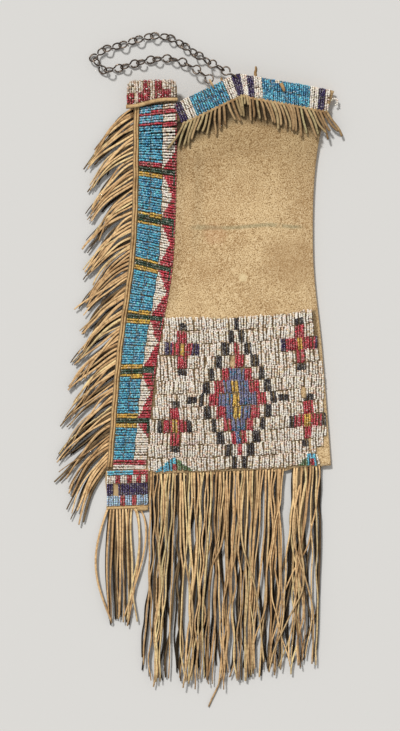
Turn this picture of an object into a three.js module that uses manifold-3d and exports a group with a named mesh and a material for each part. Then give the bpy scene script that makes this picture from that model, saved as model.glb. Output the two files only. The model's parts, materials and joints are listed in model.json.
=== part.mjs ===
// Beaded tobacco bag of tanned hide, lying flat on its back, with fringes and a wire chain at the mouth.
// Millimetres. +X is the bag's right, +Y runs towards the mouth, +Z is up from the table it lies on.
import * as THREE from "three";
import { mergeVertices } from "three/addons/utils/BufferGeometryUtils.js";
import Module from "manifold-3d";

const wasm = await Module();
wasm.setup();
const { clamp, lerp, smoothstep, degToRad } = THREE.MathUtils;
const v3 = (x, y, z) => new THREE.Vector3(x, y, z);

// Pouch in plan, measured from the middle of the bottom seam
const BOTTOM_HALF = 111; // half the width along the bottom seam
const BOTTOM_RISE = 0.04; // climb of the bottom seam towards the right, per mm
const HIP_HEIGHT = 116; // where both edges bend towards the waist
const HIP_LEFT = 101;
const HIP_RIGHT = 102;
const WAIST_HEIGHT = 216;
const WAIST_LEFT = 88;
const WAIST_RIGHT = 93;
const SHOULDER_HEIGHT = 331; // above this the right edge flares
const SHOULDER_RIGHT = 100;
const MOUTH_LEFT = 84;
const MOUTH_RIGHT = 114;
const MOUTH_FOOT_X = -44; // the mouth line starts to climb here, beside the strip
const MOUTH_FOOT_Y = 361;
const MOUTH_PEAK_X = 18;
const MOUTH_PEAK_Y = 391;
const MOUTH_END_Y = 375;

// Pouch in section
const WALL = 1.6; // hide
const EDGE_FOLD = 3; // hide that is folded or sewn together along the side edges
const SEAM_DEPTH = 9; // hide that is sewn together along the bottom
const BODY_HEIGHT = 13; // front wall above the table along the middle
const EDGE_HEIGHT = 5; // front wall above the table at the side edges
const MOUTH_HEIGHT = 17; // the mouth gapes a little
const MOUTH_EDGE_HEIGHT = 8;
const GAPE_START = 0.8; // share of the length above which the mouth gapes
const GAPE_FULL = 0.93; // share above which it is fully open
const LIFT_START = 0.88; // share above which the back rises onto the back band
const SWELL_LENGTH = 60; // the pouch fills out over this length above the bottom seam
const SEAM_SWELL = 0.12; // share of the full height at the bottom seam
const CROWN = 3.2; // higher is flatter in the middle and steeper at the edges
const TUCK = 1.5; // the back turns up by this at the side edges
const BACK_FLAT = 0.6; // share of the back's half width that lies flat on the table
const FIT = 0.35; // gap between pieces that are sewn together

// Beadwork
const BEAD = 2.3; // bead diameter, and the height of a lane along its middle
const VALLEY = 1.3; // height of a lane along its stitched edges
const FIELD = 1.8; // mean height of a lane, to which a field of another colour is levelled
const SEAT = 0.8; // height of the underside of such a field over the hide
const STRING = 2.45; // spacing of the bead strings in the panel
const LANE = 12.5; // length of a bead string in the panel
const LANES = 12;
const PANEL_BASE = 2; // lowest lane above the bottom seam
const PANEL_MARGIN = 5; // bare hide at the right edge
const DIAMOND_X = 18.5; // middle line of the diamond
const DIAMOND_LANE = 5; // widest lane of the diamond, counted from the bottom
const DIAMOND_STEP = 3; // strings by which each lane of the diamond is narrower than the last
const RED_STRINGS = 12; // half width of the red field in its widest lane
const CORE_STRINGS = 8;
const HEART_STRINGS = 1.5;
const CROSS_ARM = 4.7; // half width of an upright arm
const CROSS_REACH = 14; // half length of the level arm
const CROSS_LEFT_X = [-35, -43];
const CROSS_RIGHT_X = [81, 89];
const CROSS_LANE = [9, 3]; // lanes of the level arms, upper pair and lower pair

// Side strip, tail and welt
const WELT_WIDTH = 4.4;
const WELT_HEIGHT = 2.6;
const WELT_INSET = 0.2; // from the pouch's edge
const SEWN_LOW = 3; // what is sewn along the left edge stops this far above the bottom seam
const SEWN_HIGH = 1; // and this far below the mouth line
const STRIP_WIDTH_TOP = 38;
const STRIP_WIDTH_BOTTOM = 33.5;
const STRIP_BLUE_SHARE = 0.62; // part of the strip's width that is blue
const BAR_LENGTH = 13; // extent of a crossing bar along the strip
const BAR_FIRST = 298; // middle of the top bar above the bottom seam
const BAR_SPACING = 51;
const BARS = 6;
const TAIL_WIDTH = 43;
const TAIL_OUT = 2; // the tail's left side stands out past the pouch
const TAIL_LENGTH = 39;
const TAIL_LANES = 4;
const TAIL_DROP = 20; // the tail comes down to the table over this length

// Flap folded forward over the top of the strip
const FLAP_LEFT = -92;
const FLAP_WIDTH = 50;
const FLAP_TOP = 387;
const FLAP_EDGE = 356; // free lower edge
const FLAP_SKEW = 0.11; // climb of the free edge towards the right, per mm
const FLAP_THICK = 3.2;
const FLAP_ROUND = 6; // rounding of its upper corners
const BINDING_WIDTH = 4;
const BINDING_PROUD = 0.4; // above the flap, and past its ends
const FLAP_AIR = 0.2; // between the flap's front leaf and the beads under it

// Bands round the mouth
const BAND_WIDTH = 22.5;
const BAND_INSET = 0.6; // hide that shows above the band
const BAND_END = 3; // hide that shows past its right end
const BAND_STATIONS = [0.13, 0.26, 0.55, 0.7, 0.84, 0.92]; // bends of the band, as shares of the mouth line
const BAND_LEAN_LEFT = 0.19; // lean of the strings at the left end, and at the right one
const BAND_LEAN_RIGHT = -0.2;
const STRIPE_LEFT = [-37, -29];
const STRIPE_MIDDLE = [4, 41];
const STRIPE_RIGHT = [91, 110];
const PURPLE_MIDDLE = [13, 20];
const PURPLE_RIGHT = [97, 104];

// Fringes
const STRAND_WIDTH = 2.8;
const STRAND_THICK = 1.5;
const SIDE_STRANDS = 50;
const SIDE_LENGTH = 66;
const SIDE_FIRST = 196; // heading in degrees where a side strand leaves the seam
const SIDE_LAST = 232; // and at its tip
const SHORT_LENGTH = 110; // below the mouth line the side strands get shorter over this length
const BOTTOM_STRANDS = 40;
const BOTTOM_LENGTH = 214;
const BOTTOM_TAPER = 12; // by which the right end of the bottom fringe is shorter
const BOTTOM_LEAN = [-0.5, -3.5]; // degrees off the bag's length, left and right
const BOTTOM_CLEAR = 2; // bottom fringe from the tail tab, and from the pouch's right end
const LONG_STRAND = 15; // this one of the bottom strands hangs out below the others
const LONG_EXTRA = 26;
const TAIL_STRANDS = 12;
const TAIL_FRINGE_LENGTH = 112;
const TAIL_LEAN = [-5, 1];
const TAIL_INSET = 1; // tail fringe inside the tab's sides
const MOUTH_STRANDS = 22;
const MOUTH_FRINGE_LENGTH = 27;
const HEADER = 4; // uncut edge that the strands hang from
const HEADER_LOW = 1.8; // its underside above the table
const HEADER_THICK = 2.6;
const STRAND_START = 2.2; // height at which strands leave it
const TABLE_GAP = 0.2; // between a piece that lies on the table and the table

// Chain of bent wire: two loops at right angles to each link
const WIRE = 1.6;
const LOOP = 4.25; // radius of a loop along the wire's middle
const LOOP_SPREAD = 10.25; // between the middles of a link's two loops
const LOOP_PLAY = 0.6; // slack between two loops that hang in each other
const LOOP_GAP = 15; // degrees left open at the end of each loop
const LINKS = 18;
const LINK_PITCH = LOOP_SPREAD + 2 * LOOP - WIRE - LOOP_PLAY;
const LOOP_LEAN = 36; // degrees by which the loops lean on the table, each against the next
const LEAN_START = 3; // links at either end of the chain over which it comes to lean
const CHAIN_FLOOR = LOOP * Math.cos(degToRad(LOOP_LEAN)) + WIRE / 2 + TABLE_GAP;
const CHAIN_HOLE = 2.3; // radius of the holes that are pierced for the chain
const TIE_THICK = 2;
const TIE_LOOP = 4.3;
const TIE_REACH = 10; // from the last loop to the point that the tie pulls towards
const HOLE_LENGTH = 14; // of the pierced holes, through wall and band across their slope
// Route over the table, as the chain was dropped: x, y, and share of the drop from the mouth
const CHAIN_ROUTE = [
  [20.6, 385.5, 0], [10, 392.5, 0.1], [-2, 399, 0.45], [-16, 408, 0.85], [-29, 416.5, 1], [-42, 425.5, 1],
  [-57, 430.5, 1], [-73, 429.5, 1], [-88, 424.5, 1], [-104, 419.5, 1], [-120, 415.5, 1], [-126.5, 406, 1],
  [-120.5, 396.5, 1], [-107, 396.5, 1], [-91, 401, 1], [-75, 405, 1], [-60, 408, 1], [-45, 407, 0.96],
  [-33, 402.5, 0.78], [-20, 394.5, 0.44], [-8, 385, 0.08], [4, 377, 0],
];
const TIE_PULL = [0.435, -0.9]; // direction in which the tie pulls the last link, across the mouth line

// Small trim
const THONG_WIDTH = 4;
const THONG_THICK = 1.4;
// Thong ends at the mouth: place along it, length inside, length outside, lean
const MOUTH_THONGS = [[36, 14, 11, 0.1], [3, 10, 4, -0.2]];
const BAND_THONG = [[60, 0.14], [64, 0.3], [67, 0.52]]; // place along the band, share of its width
const THONG_FALL = 0.15; // drop of a thong outside the mouth, per mm
const LAY = 0.2; // slack under a strand or thong that lies on the bag
const LOOSE_RADIUS = 3.6; // bend of the loose string of beads at the mouth's right end
const LOOSE_START = 150; // degrees round that bend, from the pouch's edge
const LOOSE_END = -60;
const LOOSE_DROP = 9; // below the mouth line
const LOOSE_SLOPE = 0.2; // fall towards the table, per mm away from the edge

const COLOURS = {
  hide: [0xc0a072, 0.9],
  strand: [0xa58a64, 0.92],
  white: [0xd8ccbc, 0.35],
  blue: [0x54808f, 0.3],
  red: [0x9a4448, 0.35],
  green: [0x36432c, 0.35],
  yellow: [0xb29a55, 0.35],
  purple: [0x4a3c4c, 0.35],
  black: [0x2e2824, 0.35],
  lavender: [0x6c6780, 0.35],
  iron: [0x55524e, 0.45],
};

// Solids

function facing(points, faces) {
  let volume = 0;
  for (const [a, b, c] of faces) volume += points[a].dot(v3(0, 0, 0).crossVectors(points[b], points[c]));
  return volume < 0 ? faces.map(([a, b, c]) => [a, c, b]) : faces;
}

function solidOf(geometry) {
  const bare = new THREE.BufferGeometry();
  bare.setAttribute("position", geometry.getAttribute("position"));
  bare.setIndex(geometry.getIndex());
  const merged = mergeVertices(bare, 1e-4);
  const vertProperties = new Float32Array(merged.getAttribute("position").array);
  const triVerts = new Uint32Array(merged.getIndex().array);
  return new wasm.Manifold(new wasm.Mesh({ numProp: 3, vertProperties, triVerts }));
}

function closed(points, faces) {
  const geometry = new THREE.BufferGeometry().setFromPoints(points);
  geometry.setIndex(facing(points, faces).flat());
  return solidOf(geometry);
}

function geometryOf(solid) {
  const mesh = solid.getMesh();
  const geometry = new THREE.BufferGeometry();
  geometry.setAttribute("position", new THREE.BufferAttribute(new Float32Array(mesh.vertProperties), 3));
  geometry.setIndex(new THREE.BufferAttribute(new Uint32Array(mesh.triVerts), 1));
  return geometry;
}

const joined = (solids) => wasm.Manifold.union(solids);

function capOf(ring, offset) {
  const normal = v3(0, 0, 0);
  ring.forEach((p, i) => normal.add(v3(0, 0, 0).crossVectors(p, ring[(i + 1) % ring.length])));
  const size = normal.toArray().map(Math.abs);
  const drop = size.indexOf(Math.max(...size));
  const flat = ring.map((p) => new THREE.Vector2(...p.toArray().filter((_, k) => k !== drop)));
  const sign = Math.sign(THREE.ShapeUtils.area(flat));
  return THREE.ShapeUtils.triangulateShape(flat, []).map(([a, b, c]) => {
    const turn = Math.sign(THREE.ShapeUtils.area([flat[a], flat[b], flat[c]]));
    const face = turn === sign ? [a, b, c] : [a, c, b];
    return face.map((k) => k + offset);
  });
}

// Closes the end of a layer in upright strips, from its upper side to its underside
function stripCap(ring, offset) {
  const faces = [];
  for (let i = 0; i + 1 < ring.length / 2; i += 1) {
    const across = ring.length - 1 - i;
    faces.push([i, i + 1, across], [i + 1, across - 1, across]);
  }
  return faces.map((face) => face.map((k) => k + offset));
}

// A closed body through a row of rings with equal counts of points
function loft(rings, cap = capOf) {
  const n = rings[0].length;
  const faces = [];
  for (let r = 0; r + 1 < rings.length; r += 1) {
    for (let i = 0; i < n; i += 1) {
      const a = r * n + i;
      const b = r * n + ((i + 1) % n);
      faces.push([a, b, b + n], [a, b + n, a + n]);
    }
  }
  const last = (rings.length - 1) * n;
  faces.push(...cap(rings[0], 0).map(([a, b, c]) => [a, c, b]), ...cap(rings.at(-1), last));
  return closed(rings.flat(), faces);
}

// A closed layer over a grid; at(u, v, face) places its underside (face 0) and its upper side (face 1)
function layer(us, vs, at) {
  const rings = vs.map((v) => [...us.map((u) => at(u, v, 1)), ...us.toReversed().map((u) => at(u, v, 0))]);
  return loft(rings, stripCap);
}

// A flat strip of hide along a path, lying level across its width
function ribbon(path, width, thick) {
  const rings = path.map((p, i) => {
    const back = path[Math.max(0, i - 1)];
    const on = path[Math.min(path.length - 1, i + 1)];
    const side = v3(back.y - on.y, on.x - back.x, 0).normalize().multiplyScalar(width / 2);
    const low = [p.clone().sub(side), p.clone().add(side)];
    return [...low, ...low.toReversed().map((q) => q.clone().setZ(q.z + thick))];
  });
  return loft(rings);
}

const spread = (from, to, count) => Array.from({ length: count + 1 }, (_, i) => lerp(from, to, i / count));

// A fixed scatter between -1 and 1, so that no two strands hang quite alike
const scatter = (i, salt) => 2 * ((Math.abs(Math.sin(i * 12.9898 + salt * 78.233)) * 43758.5453) % 1) - 1;

// Outline of the pouch

const edgeCurve = (heights, values) => {
  const curve = new THREE.CubicInterpolant(heights, values, 1);
  return (y) => curve.evaluate(y)[0];
};
const leftX = edgeCurve(
  [0, HIP_HEIGHT, WAIST_HEIGHT, MOUTH_FOOT_Y],
  [-BOTTOM_HALF, -HIP_LEFT, -WAIST_LEFT, -MOUTH_LEFT],
);
const rightX = edgeCurve(
  [0, HIP_HEIGHT, WAIST_HEIGHT, SHOULDER_HEIGHT, MOUTH_END_Y],
  [BOTTOM_HALF, HIP_RIGHT, WAIST_RIGHT, SHOULDER_RIGHT, MOUTH_RIGHT],
);
const seamY = (x) => BOTTOM_RISE * x;
const stripWidth = (y) => lerp(STRIP_WIDTH_BOTTOM, STRIP_WIDTH_TOP, smoothstep(y, 0, WAIST_HEIGHT));
const stripLeft = (y) => leftX(y) + WELT_WIDTH + FIT;
const stripRight = (y) => stripLeft(y) + stripWidth(y);

function mouthY(x) {
  if (x < MOUTH_FOOT_X) return MOUTH_FOOT_Y;
  const climb = (x - MOUTH_FOOT_X) / (MOUTH_PEAK_X - MOUTH_FOOT_X);
  if (climb < 1) return lerp(MOUTH_FOOT_Y, MOUTH_PEAK_Y, climb);
  return lerp(MOUTH_PEAK_Y, MOUTH_END_Y, (x - MOUTH_PEAK_X) / (MOUTH_RIGHT - MOUTH_PEAK_X));
}

// 1 at the side edges, 0 along the middle line
function outness(x, y) {
  const share = (x - leftX(y)) / (rightX(y) - leftX(y));
  return Math.min(1, Math.abs(2 * share - 1));
}

// Share of the length from the bottom seam to the mouth line
const along = (x, y) => (y - seamY(x)) / (mouthY(x) - seamY(x));

// Outer height of the front wall
function frontZ(x, y) {
  const gape = clamp((along(x, y) - GAPE_START) / (GAPE_FULL - GAPE_START), 0, 1);
  const swell = lerp(SEAM_SWELL, 1, clamp((y - seamY(x)) / SWELL_LENGTH, 0, 1));
  const edge = lerp(EDGE_HEIGHT, MOUTH_EDGE_HEIGHT, gape);
  const rise = lerp(BODY_HEIGHT, MOUTH_HEIGHT, gape) - edge;
  return edge + rise * swell * (1 - outness(x, y) ** CROWN);
}

// Outer height of the back wall, which lies on the table and on the back band
function backZ(x, y) {
  const lift = clamp((along(x, y) - LIFT_START) / (GAPE_FULL - LIFT_START), 0, 1);
  const turn = Math.max(0, outness(x, y) - BACK_FLAT) / (1 - BACK_FLAT);
  return lift * (BEAD + FIT) + TUCK * turn ** 3;
}

// Plan point at shares s across the pouch and t from the bottom seam to the mouth line
function pouchPoint(s, t, inset) {
  let x = lerp(-BOTTOM_HALF, BOTTOM_HALF, s);
  let y = 0;
  for (let pass = 0; pass < 5; pass += 1) {
    y = lerp(seamY(x), mouthY(x), t);
    x = lerp(leftX(y) + inset, rightX(y) - inset, s);
  }
  return [x, y];
}

const FOOT_SHARE = (MOUTH_FOOT_X + MOUTH_LEFT) / (MOUTH_LEFT + MOUTH_RIGHT);
const PEAK_SHARE = (MOUTH_PEAK_X + MOUTH_LEFT) / (MOUTH_LEFT + MOUTH_RIGHT);
const FRONT_SHARES = [
  0, 0.05, 0.12, FOOT_SHARE, (FOOT_SHARE + PEAK_SHARE) / 2, PEAK_SHARE, 0.7, 0.86, 0.95, 1,
];
const BACK_SHARES = [1, 0.94, 1 - FOOT_SHARE, PEAK_SHARE, FOOT_SHARE, 0.06, 0];

function pouchRing(t, inset, wall) {
  const over = FRONT_SHARES.map((s) => {
    const [x, y] = pouchPoint(s, t, inset);
    return v3(x, y, frontZ(x, y) - wall);
  });
  const under = BACK_SHARES.map((s) => {
    const [x, y] = pouchPoint(s, t, inset);
    return v3(x, y, backZ(x, y) + wall);
  });
  return [...over, ...under];
}

const RINGS = [0, 0.08, 0.16, 0.3, 0.42, 0.54, 0.67, GAPE_START, LIFT_START, GAPE_FULL, 1];
const EDGE_STOPS = RINGS.map((t) => pouchPoint(0, t, 0)[1]); // heights of the rings along the left edge

function pouch() {
  const outside = RINGS;
  const inside = [1, GAPE_FULL, GAPE_START, 0.54, 0.3, 0.14, SEAM_DEPTH / MOUTH_FOOT_Y];
  return pierced(loft([
    ...outside.map((t) => pouchRing(t, 0, 0)),
    ...inside.map((t) => pouchRing(t, EDGE_FOLD, WALL)),
  ]));
}

// Height of a bead lane over the hide; share runs from 0 to 1 across each lane
const lane = (share) => lerp(VALLEY, BEAD, Math.sin(Math.PI * (share - Math.floor(share))));

// Bead panel

// Height of the panel's lanes over the bottom seam, b lanes up from the lowest one
const panelY = (x, b) => seamY(x) + PANEL_BASE + b * LANE;
const onPanel = (x, b) => new THREE.Vector2(x, panelY(x, b));

function panelEnds(b) {
  const y = panelY(0, b);
  return [stripRight(y) + FIT, rightX(y) - PANEL_MARGIN];
}

function panelGround() {
  const columns = FRONT_SHARES.filter((s) => s > FOOT_SHARE && s < 0.9 && s !== PEAK_SHARE);
  return layer([0, ...columns, 1], spread(0, LANES, 2 * LANES), (s, b, face) => {
    const [from, to] = panelEnds(b);
    const middle = panelY(0, b);
    const x = s === 0 ? from : s === 1 ? to : lerp(leftX(middle), rightX(middle), s);
    const y = panelY(x, b);
    return v3(x, y, frontZ(x, y) + FIT + face * lane(b));
  });
}

// Fields of colour, sewn to the hide in openings of the ground. Outlines run anticlockwise.

// A stepped diamond, lane by lane, widened all round by grow
function diamond(strings, grow) {
  const reach = Math.ceil(strings / DIAMOND_STEP) - 1;
  const rows = spread(-reach, reach, 2 * reach);
  const g = grow / LANE;
  const right = rows.flatMap((k) => {
    const half = (strings - DIAMOND_STEP * Math.abs(k)) * STRING + grow;
    const low = DIAMOND_LANE + k + (k > 0 ? g : -g);
    const high = DIAMOND_LANE + k + 1 + (k < 0 ? -g : g);
    return [[half, low], [half, high]];
  });
  const left = right.toReversed().map(([half, b]) => [-half, b]);
  return [...right, ...left].map(([half, b]) => onPanel(DIAMOND_X + half, b));
}

function oblong([from, to], [low, high], grow) {
  const g = grow / LANE;
  const lower = [[from - grow, low - g], [to + grow, low - g]];
  const upper = [[to + grow, high + g], [from - grow, high + g]];
  return [...lower, ...upper].map(([x, b]) => onPanel(x, b));
}

function cross(x, low, grow) {
  const g = grow / LANE;
  const arm = CROSS_ARM + grow;
  const reach = CROSS_REACH + grow;
  const half = [
    [arm, low - 1 - g], [arm, low - g], [reach, low - g],
    [reach, low + 1 + g], [arm, low + 1 + g], [arm, low + 2 + g],
  ];
  return [...half, ...half.toReversed().map(([d, b]) => [-d, b])].map(([d, b]) => onPanel(x + d, b));
}

function field(outline, hole) {
  const shape = new THREE.Shape(outline);
  if (hole) shape.holes.push(new THREE.Path(hole));
  const geometry = new THREE.ExtrudeGeometry(shape, { depth: 1, steps: 1, bevelEnabled: false });
  const place = geometry.getAttribute("position");
  for (let i = 0; i < place.count; i += 1) {
    const base = frontZ(place.getX(i), place.getY(i)) + FIT;
    place.setZ(i, base + (place.getZ(i) > 0.5 ? FIELD : SEAT));
  }
  return solidOf(geometry);
}

const opening = (outline) =>
  solidOf(new THREE.ExtrudeGeometry(new THREE.Shape(outline), { depth: 40, steps: 1, bevelEnabled: false }));

function panelFields() {
  const heartLanes = [DIAMOND_LANE - 0.9, DIAMOND_LANE + 1.9];
  const heartX = [DIAMOND_X - HEART_STRINGS * STRING, DIAMOND_X + HEART_STRINGS * STRING];
  const crosses = [[CROSS_LEFT_X[0], 0], [CROSS_RIGHT_X[0], 0], [CROSS_LEFT_X[1], 1], [CROSS_RIGHT_X[1], 1]];
  const fields = [
    ["panel_red", "red", field(diamond(RED_STRINGS, 0), diamond(CORE_STRINGS, FIT))],
    ["panel_core", "lavender", field(diamond(CORE_STRINGS, 0), oblong(heartX, heartLanes, FIT))],
    ["panel_heart", "yellow", field(oblong(heartX, heartLanes, 0))],
  ];
  const openings = [opening(diamond(RED_STRINGS, FIT))];
  crosses.forEach(([x, pair], i) => {
    fields.push([`panel_cross_${i + 1}`, "red", field(cross(x, CROSS_LANE[pair], 0))]);
    openings.push(opening(cross(x, CROSS_LANE[pair], FIT)));
  });
  return [["bead_panel", "white", panelGround().subtract(joined(openings))], ...fields];
}

// Heights along the left edge for what is sewn there
const sewnStops = () => [EDGE_STOPS[0] + SEWN_LOW, ...EDGE_STOPS.slice(2, -1), MOUTH_FOOT_Y - SEWN_HIGH];

// Side strip: shares run across its width, y up its length

const BLUE_SHARES = spread(0, STRIP_BLUE_SHARE, 4);
const stripLanes = (share) => (share < STRIP_BLUE_SHARE ? (2 * share) / STRIP_BLUE_SHARE : 0);

function stripLayer(shares, ys, height, under) {
  return layer(shares, ys, (share, y, face) => {
    const x = lerp(stripLeft(y), stripRight(y), share);
    const base = frontZ(x, y) + FIT;
    return v3(x, y, base + (face ? height(share) : under));
  });
}

function sideStrip() {
  const ys = sewnStops();
  const blueHeight = (share) => lane(stripLanes(share) - 1e-9);
  const whiteHeight = (share) => lane((share - STRIP_BLUE_SHARE) / (1 - STRIP_BLUE_SHARE) - 1e-9);
  const gap = FIT / stripWidth(WAIST_HEIGHT);
  const bars = Array.from({ length: BARS }, (_, i) => BAR_FIRST - i * BAR_SPACING);
  const barSpan = (y, grow) => [y - BAR_LENGTH / 2 - grow, y + BAR_LENGTH / 2 + grow];
  const seats = bars.map((y) =>
    stripLayer([-gap, STRIP_BLUE_SHARE + gap], barSpan(y, FIT), () => FIELD + BEAD, SEAT - FIT));
  const blue = stripLayer(BLUE_SHARES, ys, blueHeight, 0).subtract(joined(seats));
  const white = stripLayer(spread(STRIP_BLUE_SHARE + gap, 1, 2), ys, whiteHeight, 0);
  return [
    ["strip_blue", "blue", blue],
    ["strip_white", "white", white],
    ...bars.map((y, i) => [
      `strip_bar_${i + 1}`,
      "green",
      stripLayer([0, STRIP_BLUE_SHARE], barSpan(y, 0), () => FIELD, SEAT),
    ]),
  ];
}

function welt() {
  return layer([0, 0.5, 1], sewnStops(), (share, y, face) => {
    const x = leftX(y) + lerp(WELT_INSET, WELT_WIDTH, share);
    const crest = share === 0.5 ? WELT_HEIGHT : WELT_HEIGHT / 2;
    return v3(x, y, frontZ(x, y) + FIT + face * crest);
  });
}

// Tail tab below the strip: it leaves the seam and comes down to the table
const tailTop = (x) => seamY(x) - FIT;
const tailX = (share) => leftX(0) - TAIL_OUT + share * TAIL_WIDTH;

function tailTab() {
  const vs = spread(0, TAIL_LANES, 2 * TAIL_LANES);
  return layer([0, 0.5, 1], vs, (share, v, face) => {
    const x = tailX(share);
    const down = (v / TAIL_LANES) * TAIL_LENGTH;
    const base = lerp(frontZ(x, seamY(x)), 0, smoothstep(down, 0, TAIL_DROP));
    return v3(x, tailTop(x) - down, base + face * (WALL + lane(v)));
  });
}

// Flap: hide and beads folded over at the top, in a U-shaped section
const flapBase = (x) => frontZ(Math.max(x, leftX(MOUTH_FOOT_Y)), MOUTH_FOOT_Y);
const flapEdge = (x) => FLAP_EDGE + FLAP_SKEW * (x - FLAP_LEFT - FLAP_WIDTH / 2);
const flapUnder = (x) => flapBase(x) + BEAD + 2 * FIT + FLAP_AIR; // underside of the front leaf

function flap() {
  const stations = [0, 0.06, 0.2, 0.5, 0.8, 0.94, 1];
  const rounding = [1, 0.4, 0, 0, 0, 0.4, 1];
  const turns = spread(0, 180, 4);
  return loft(stations.map((share, i) => {
    const x = FLAP_LEFT + share * FLAP_WIDTH;
    const low = flapBase(x) - WALL;
    const high = flapUnder(x) + FLAP_THICK;
    const outer = (high - low) / 2;
    const inner = (flapUnder(x) - flapBase(x)) / 2;
    const top = FLAP_TOP - outer - FLAP_ROUND * rounding[i];
    const arc = (radius, middle) => turns.map((a) => {
      const turn = degToRad(a);
      return v3(x, top + radius * Math.sin(turn), middle - radius * Math.cos(turn));
    });
    return [
      v3(x, mouthY(x) + 2 * FIT, low),
      ...arc(outer, low + outer),
      v3(x, flapEdge(x), high),
      v3(x, flapEdge(x), flapUnder(x)),
      ...arc(inner, flapBase(x) + inner).toReversed(),
      v3(x, mouthY(x) + 2 * FIT, flapBase(x)),
    ];
  }));
}

function flapBinding() {
  const xs = spread(FLAP_LEFT - BINDING_PROUD, FLAP_LEFT + FLAP_WIDTH + BINDING_PROUD, 4);
  return layer([0, 1], xs, (share, x, face) => {
    const y = flapEdge(x) - FIT - share * BINDING_WIDTH;
    return v3(x, y, flapUnder(x) + face * (FLAP_THICK + BINDING_PROUD));
  });
}

// Bands: x along the mouth line, b across from its top edge

function bandPlan(x, b) {
  const share = (x - MOUTH_FOOT_X) / (MOUTH_RIGHT - MOUTH_FOOT_X);
  const down = b * BAND_WIDTH;
  return [x + lerp(BAND_LEAN_LEFT, BAND_LEAN_RIGHT, share) * down, mouthY(x) - BAND_INSET - down];
}

const BAND_ENDS = [stripRight(MOUTH_FOOT_Y) + 2 * FIT, MOUTH_RIGHT - BAND_END];
const bandStops = ([from, to]) => {
  const stops = [from, to, MOUTH_PEAK_X, ...BAND_STATIONS.map((s) => lerp(MOUTH_FOOT_X, MOUTH_RIGHT, s))];
  return stops.filter((x) => x >= from && x <= to).sort((a, b) => a - b);
};

function bandLayer(ends, bs, under, over) {
  return layer(bandStops(ends), bs, (x, b, face) => {
    const [px, py] = bandPlan(x, b);
    return v3(px, py, frontZ(px, py) + FIT + (face ? over(2 * b) : under));
  });
}

function mouthBands() {
  const seat = ([from, to]) =>
    bandLayer([from - FIT, to + FIT], [-0.05, 1.05], SEAT - FIT, () => FIELD + BEAD);
  const stripe = (ends) => bandLayer(ends, [0, 1], SEAT, () => FIELD);
  const whites = [STRIPE_LEFT, STRIPE_MIDDLE, STRIPE_RIGHT];
  const purples = [PURPLE_MIDDLE, PURPLE_RIGHT];
  const front = bandLayer(BAND_ENDS, spread(0, 1, 4), 0, lane).subtract(joined(whites.map(seat)));
  const back = layer(bandStops(BAND_ENDS), [0, 1], (x, b, face) => v3(...bandPlan(x, b), face * BEAD));
  const dark = joined(purples.map(seat));
  return [
    ["mouth_band", "blue", pierced(front)],
    ["mouth_band_back", "blue", back],
    ...purples.map((ends, i) => [`band_purple_${i + 1}`, "purple", pierced(stripe(ends))]),
    ...whites.flatMap((ends, i) => pierced(stripe(ends).subtract(dark)).decompose().map((solid, k, all) =>
      [`band_white_${i + 1}${all.length > 1 ? "abc"[k] : ""}`, "white", solid])),
  ];
}

// Fringes

function strandPath(start, headings, length, steps, heightAt) {
  const path = [start];
  for (let i = 1; i <= steps; i += 1) {
    const heading = degToRad(lerp(...headings, (i - 0.5) / steps));
    const p = path.at(-1).clone();
    p.x += (Math.cos(heading) * length) / steps;
    p.y += (Math.sin(heading) * length) / steps;
    p.z = heightAt(p, i / steps);
    path.push(p);
  }
  return path;
}

const strand = (path) => ribbon(path, STRAND_WIDTH, STRAND_THICK);

// Strands come down from the seam; every other one lies on its neighbours, the rest on the table
const settle = (i, from) => (_, share) =>
  lerp(from, i % 2 ? STRAND_THICK + 0.5 : TABLE_GAP, smoothstep(share, 0, 0.4));

function sideFringe() {
  const ys = sewnStops();
  const header = layer([0, 1], ys, (share, y, face) =>
    v3(leftX(y) - FIT - share * HEADER * 0.7, y, HEADER_LOW + face * HEADER_THICK));
  const strands = Array.from({ length: SIDE_STRANDS }, (_, i) => {
    const share = (i + 0.5) / SIDE_STRANDS;
    const y = lerp(ys.at(-1), ys[0], share);
    const start = v3(leftX(y) - FIT - HEADER / 2, y, STRAND_START);
    const first = SIDE_FIRST + 14 * share + 3 * scatter(i, 1);
    const last = SIDE_LAST + 5 * share + 5 * scatter(i, 2);
    const high = smoothstep(y, MOUTH_FOOT_Y - SHORT_LENGTH, MOUTH_FOOT_Y);
    const length = SIDE_LENGTH * (1 + 0.09 * scatter(i, 3)) * (1 - 0.12 * high);
    return strand(strandPath(start, [first, last], length, 2, settle(i, STRAND_START)));
  });
  return joined([header, ...strands]);
}

function bottomFringe() {
  const top = (x) => seamY(x) - FIT;
  const ends = [tailX(1) + BOTTOM_CLEAR, BOTTOM_HALF - BOTTOM_CLEAR];
  const header = layer([0, 1], spread(...ends, 2), (share, x, face) =>
    v3(x, top(x) - share * HEADER, HEADER_LOW + face * HEADER_THICK));
  const strands = Array.from({ length: BOTTOM_STRANDS }, (_, i) => {
    const share = (i + 0.5) / BOTTOM_STRANDS;
    const x = lerp(...ends, share);
    const start = v3(x, top(x) - HEADER / 2, STRAND_START);
    const lean = lerp(...BOTTOM_LEAN, share) + 0.7 * scatter(i, 4);
    const sway = 1.8 * scatter(i, 5);
    const extra = i === LONG_STRAND ? LONG_EXTRA : 0;
    const length = BOTTOM_LENGTH * (1 + 0.025 * scatter(i, 6)) + extra - BOTTOM_TAPER * share;
    const headings = [270 + lean - sway, 270 + lean + sway];
    return strand(strandPath(start, headings, length, 3, settle(i, STRAND_START)));
  });
  return joined([header, ...strands]);
}

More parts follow.
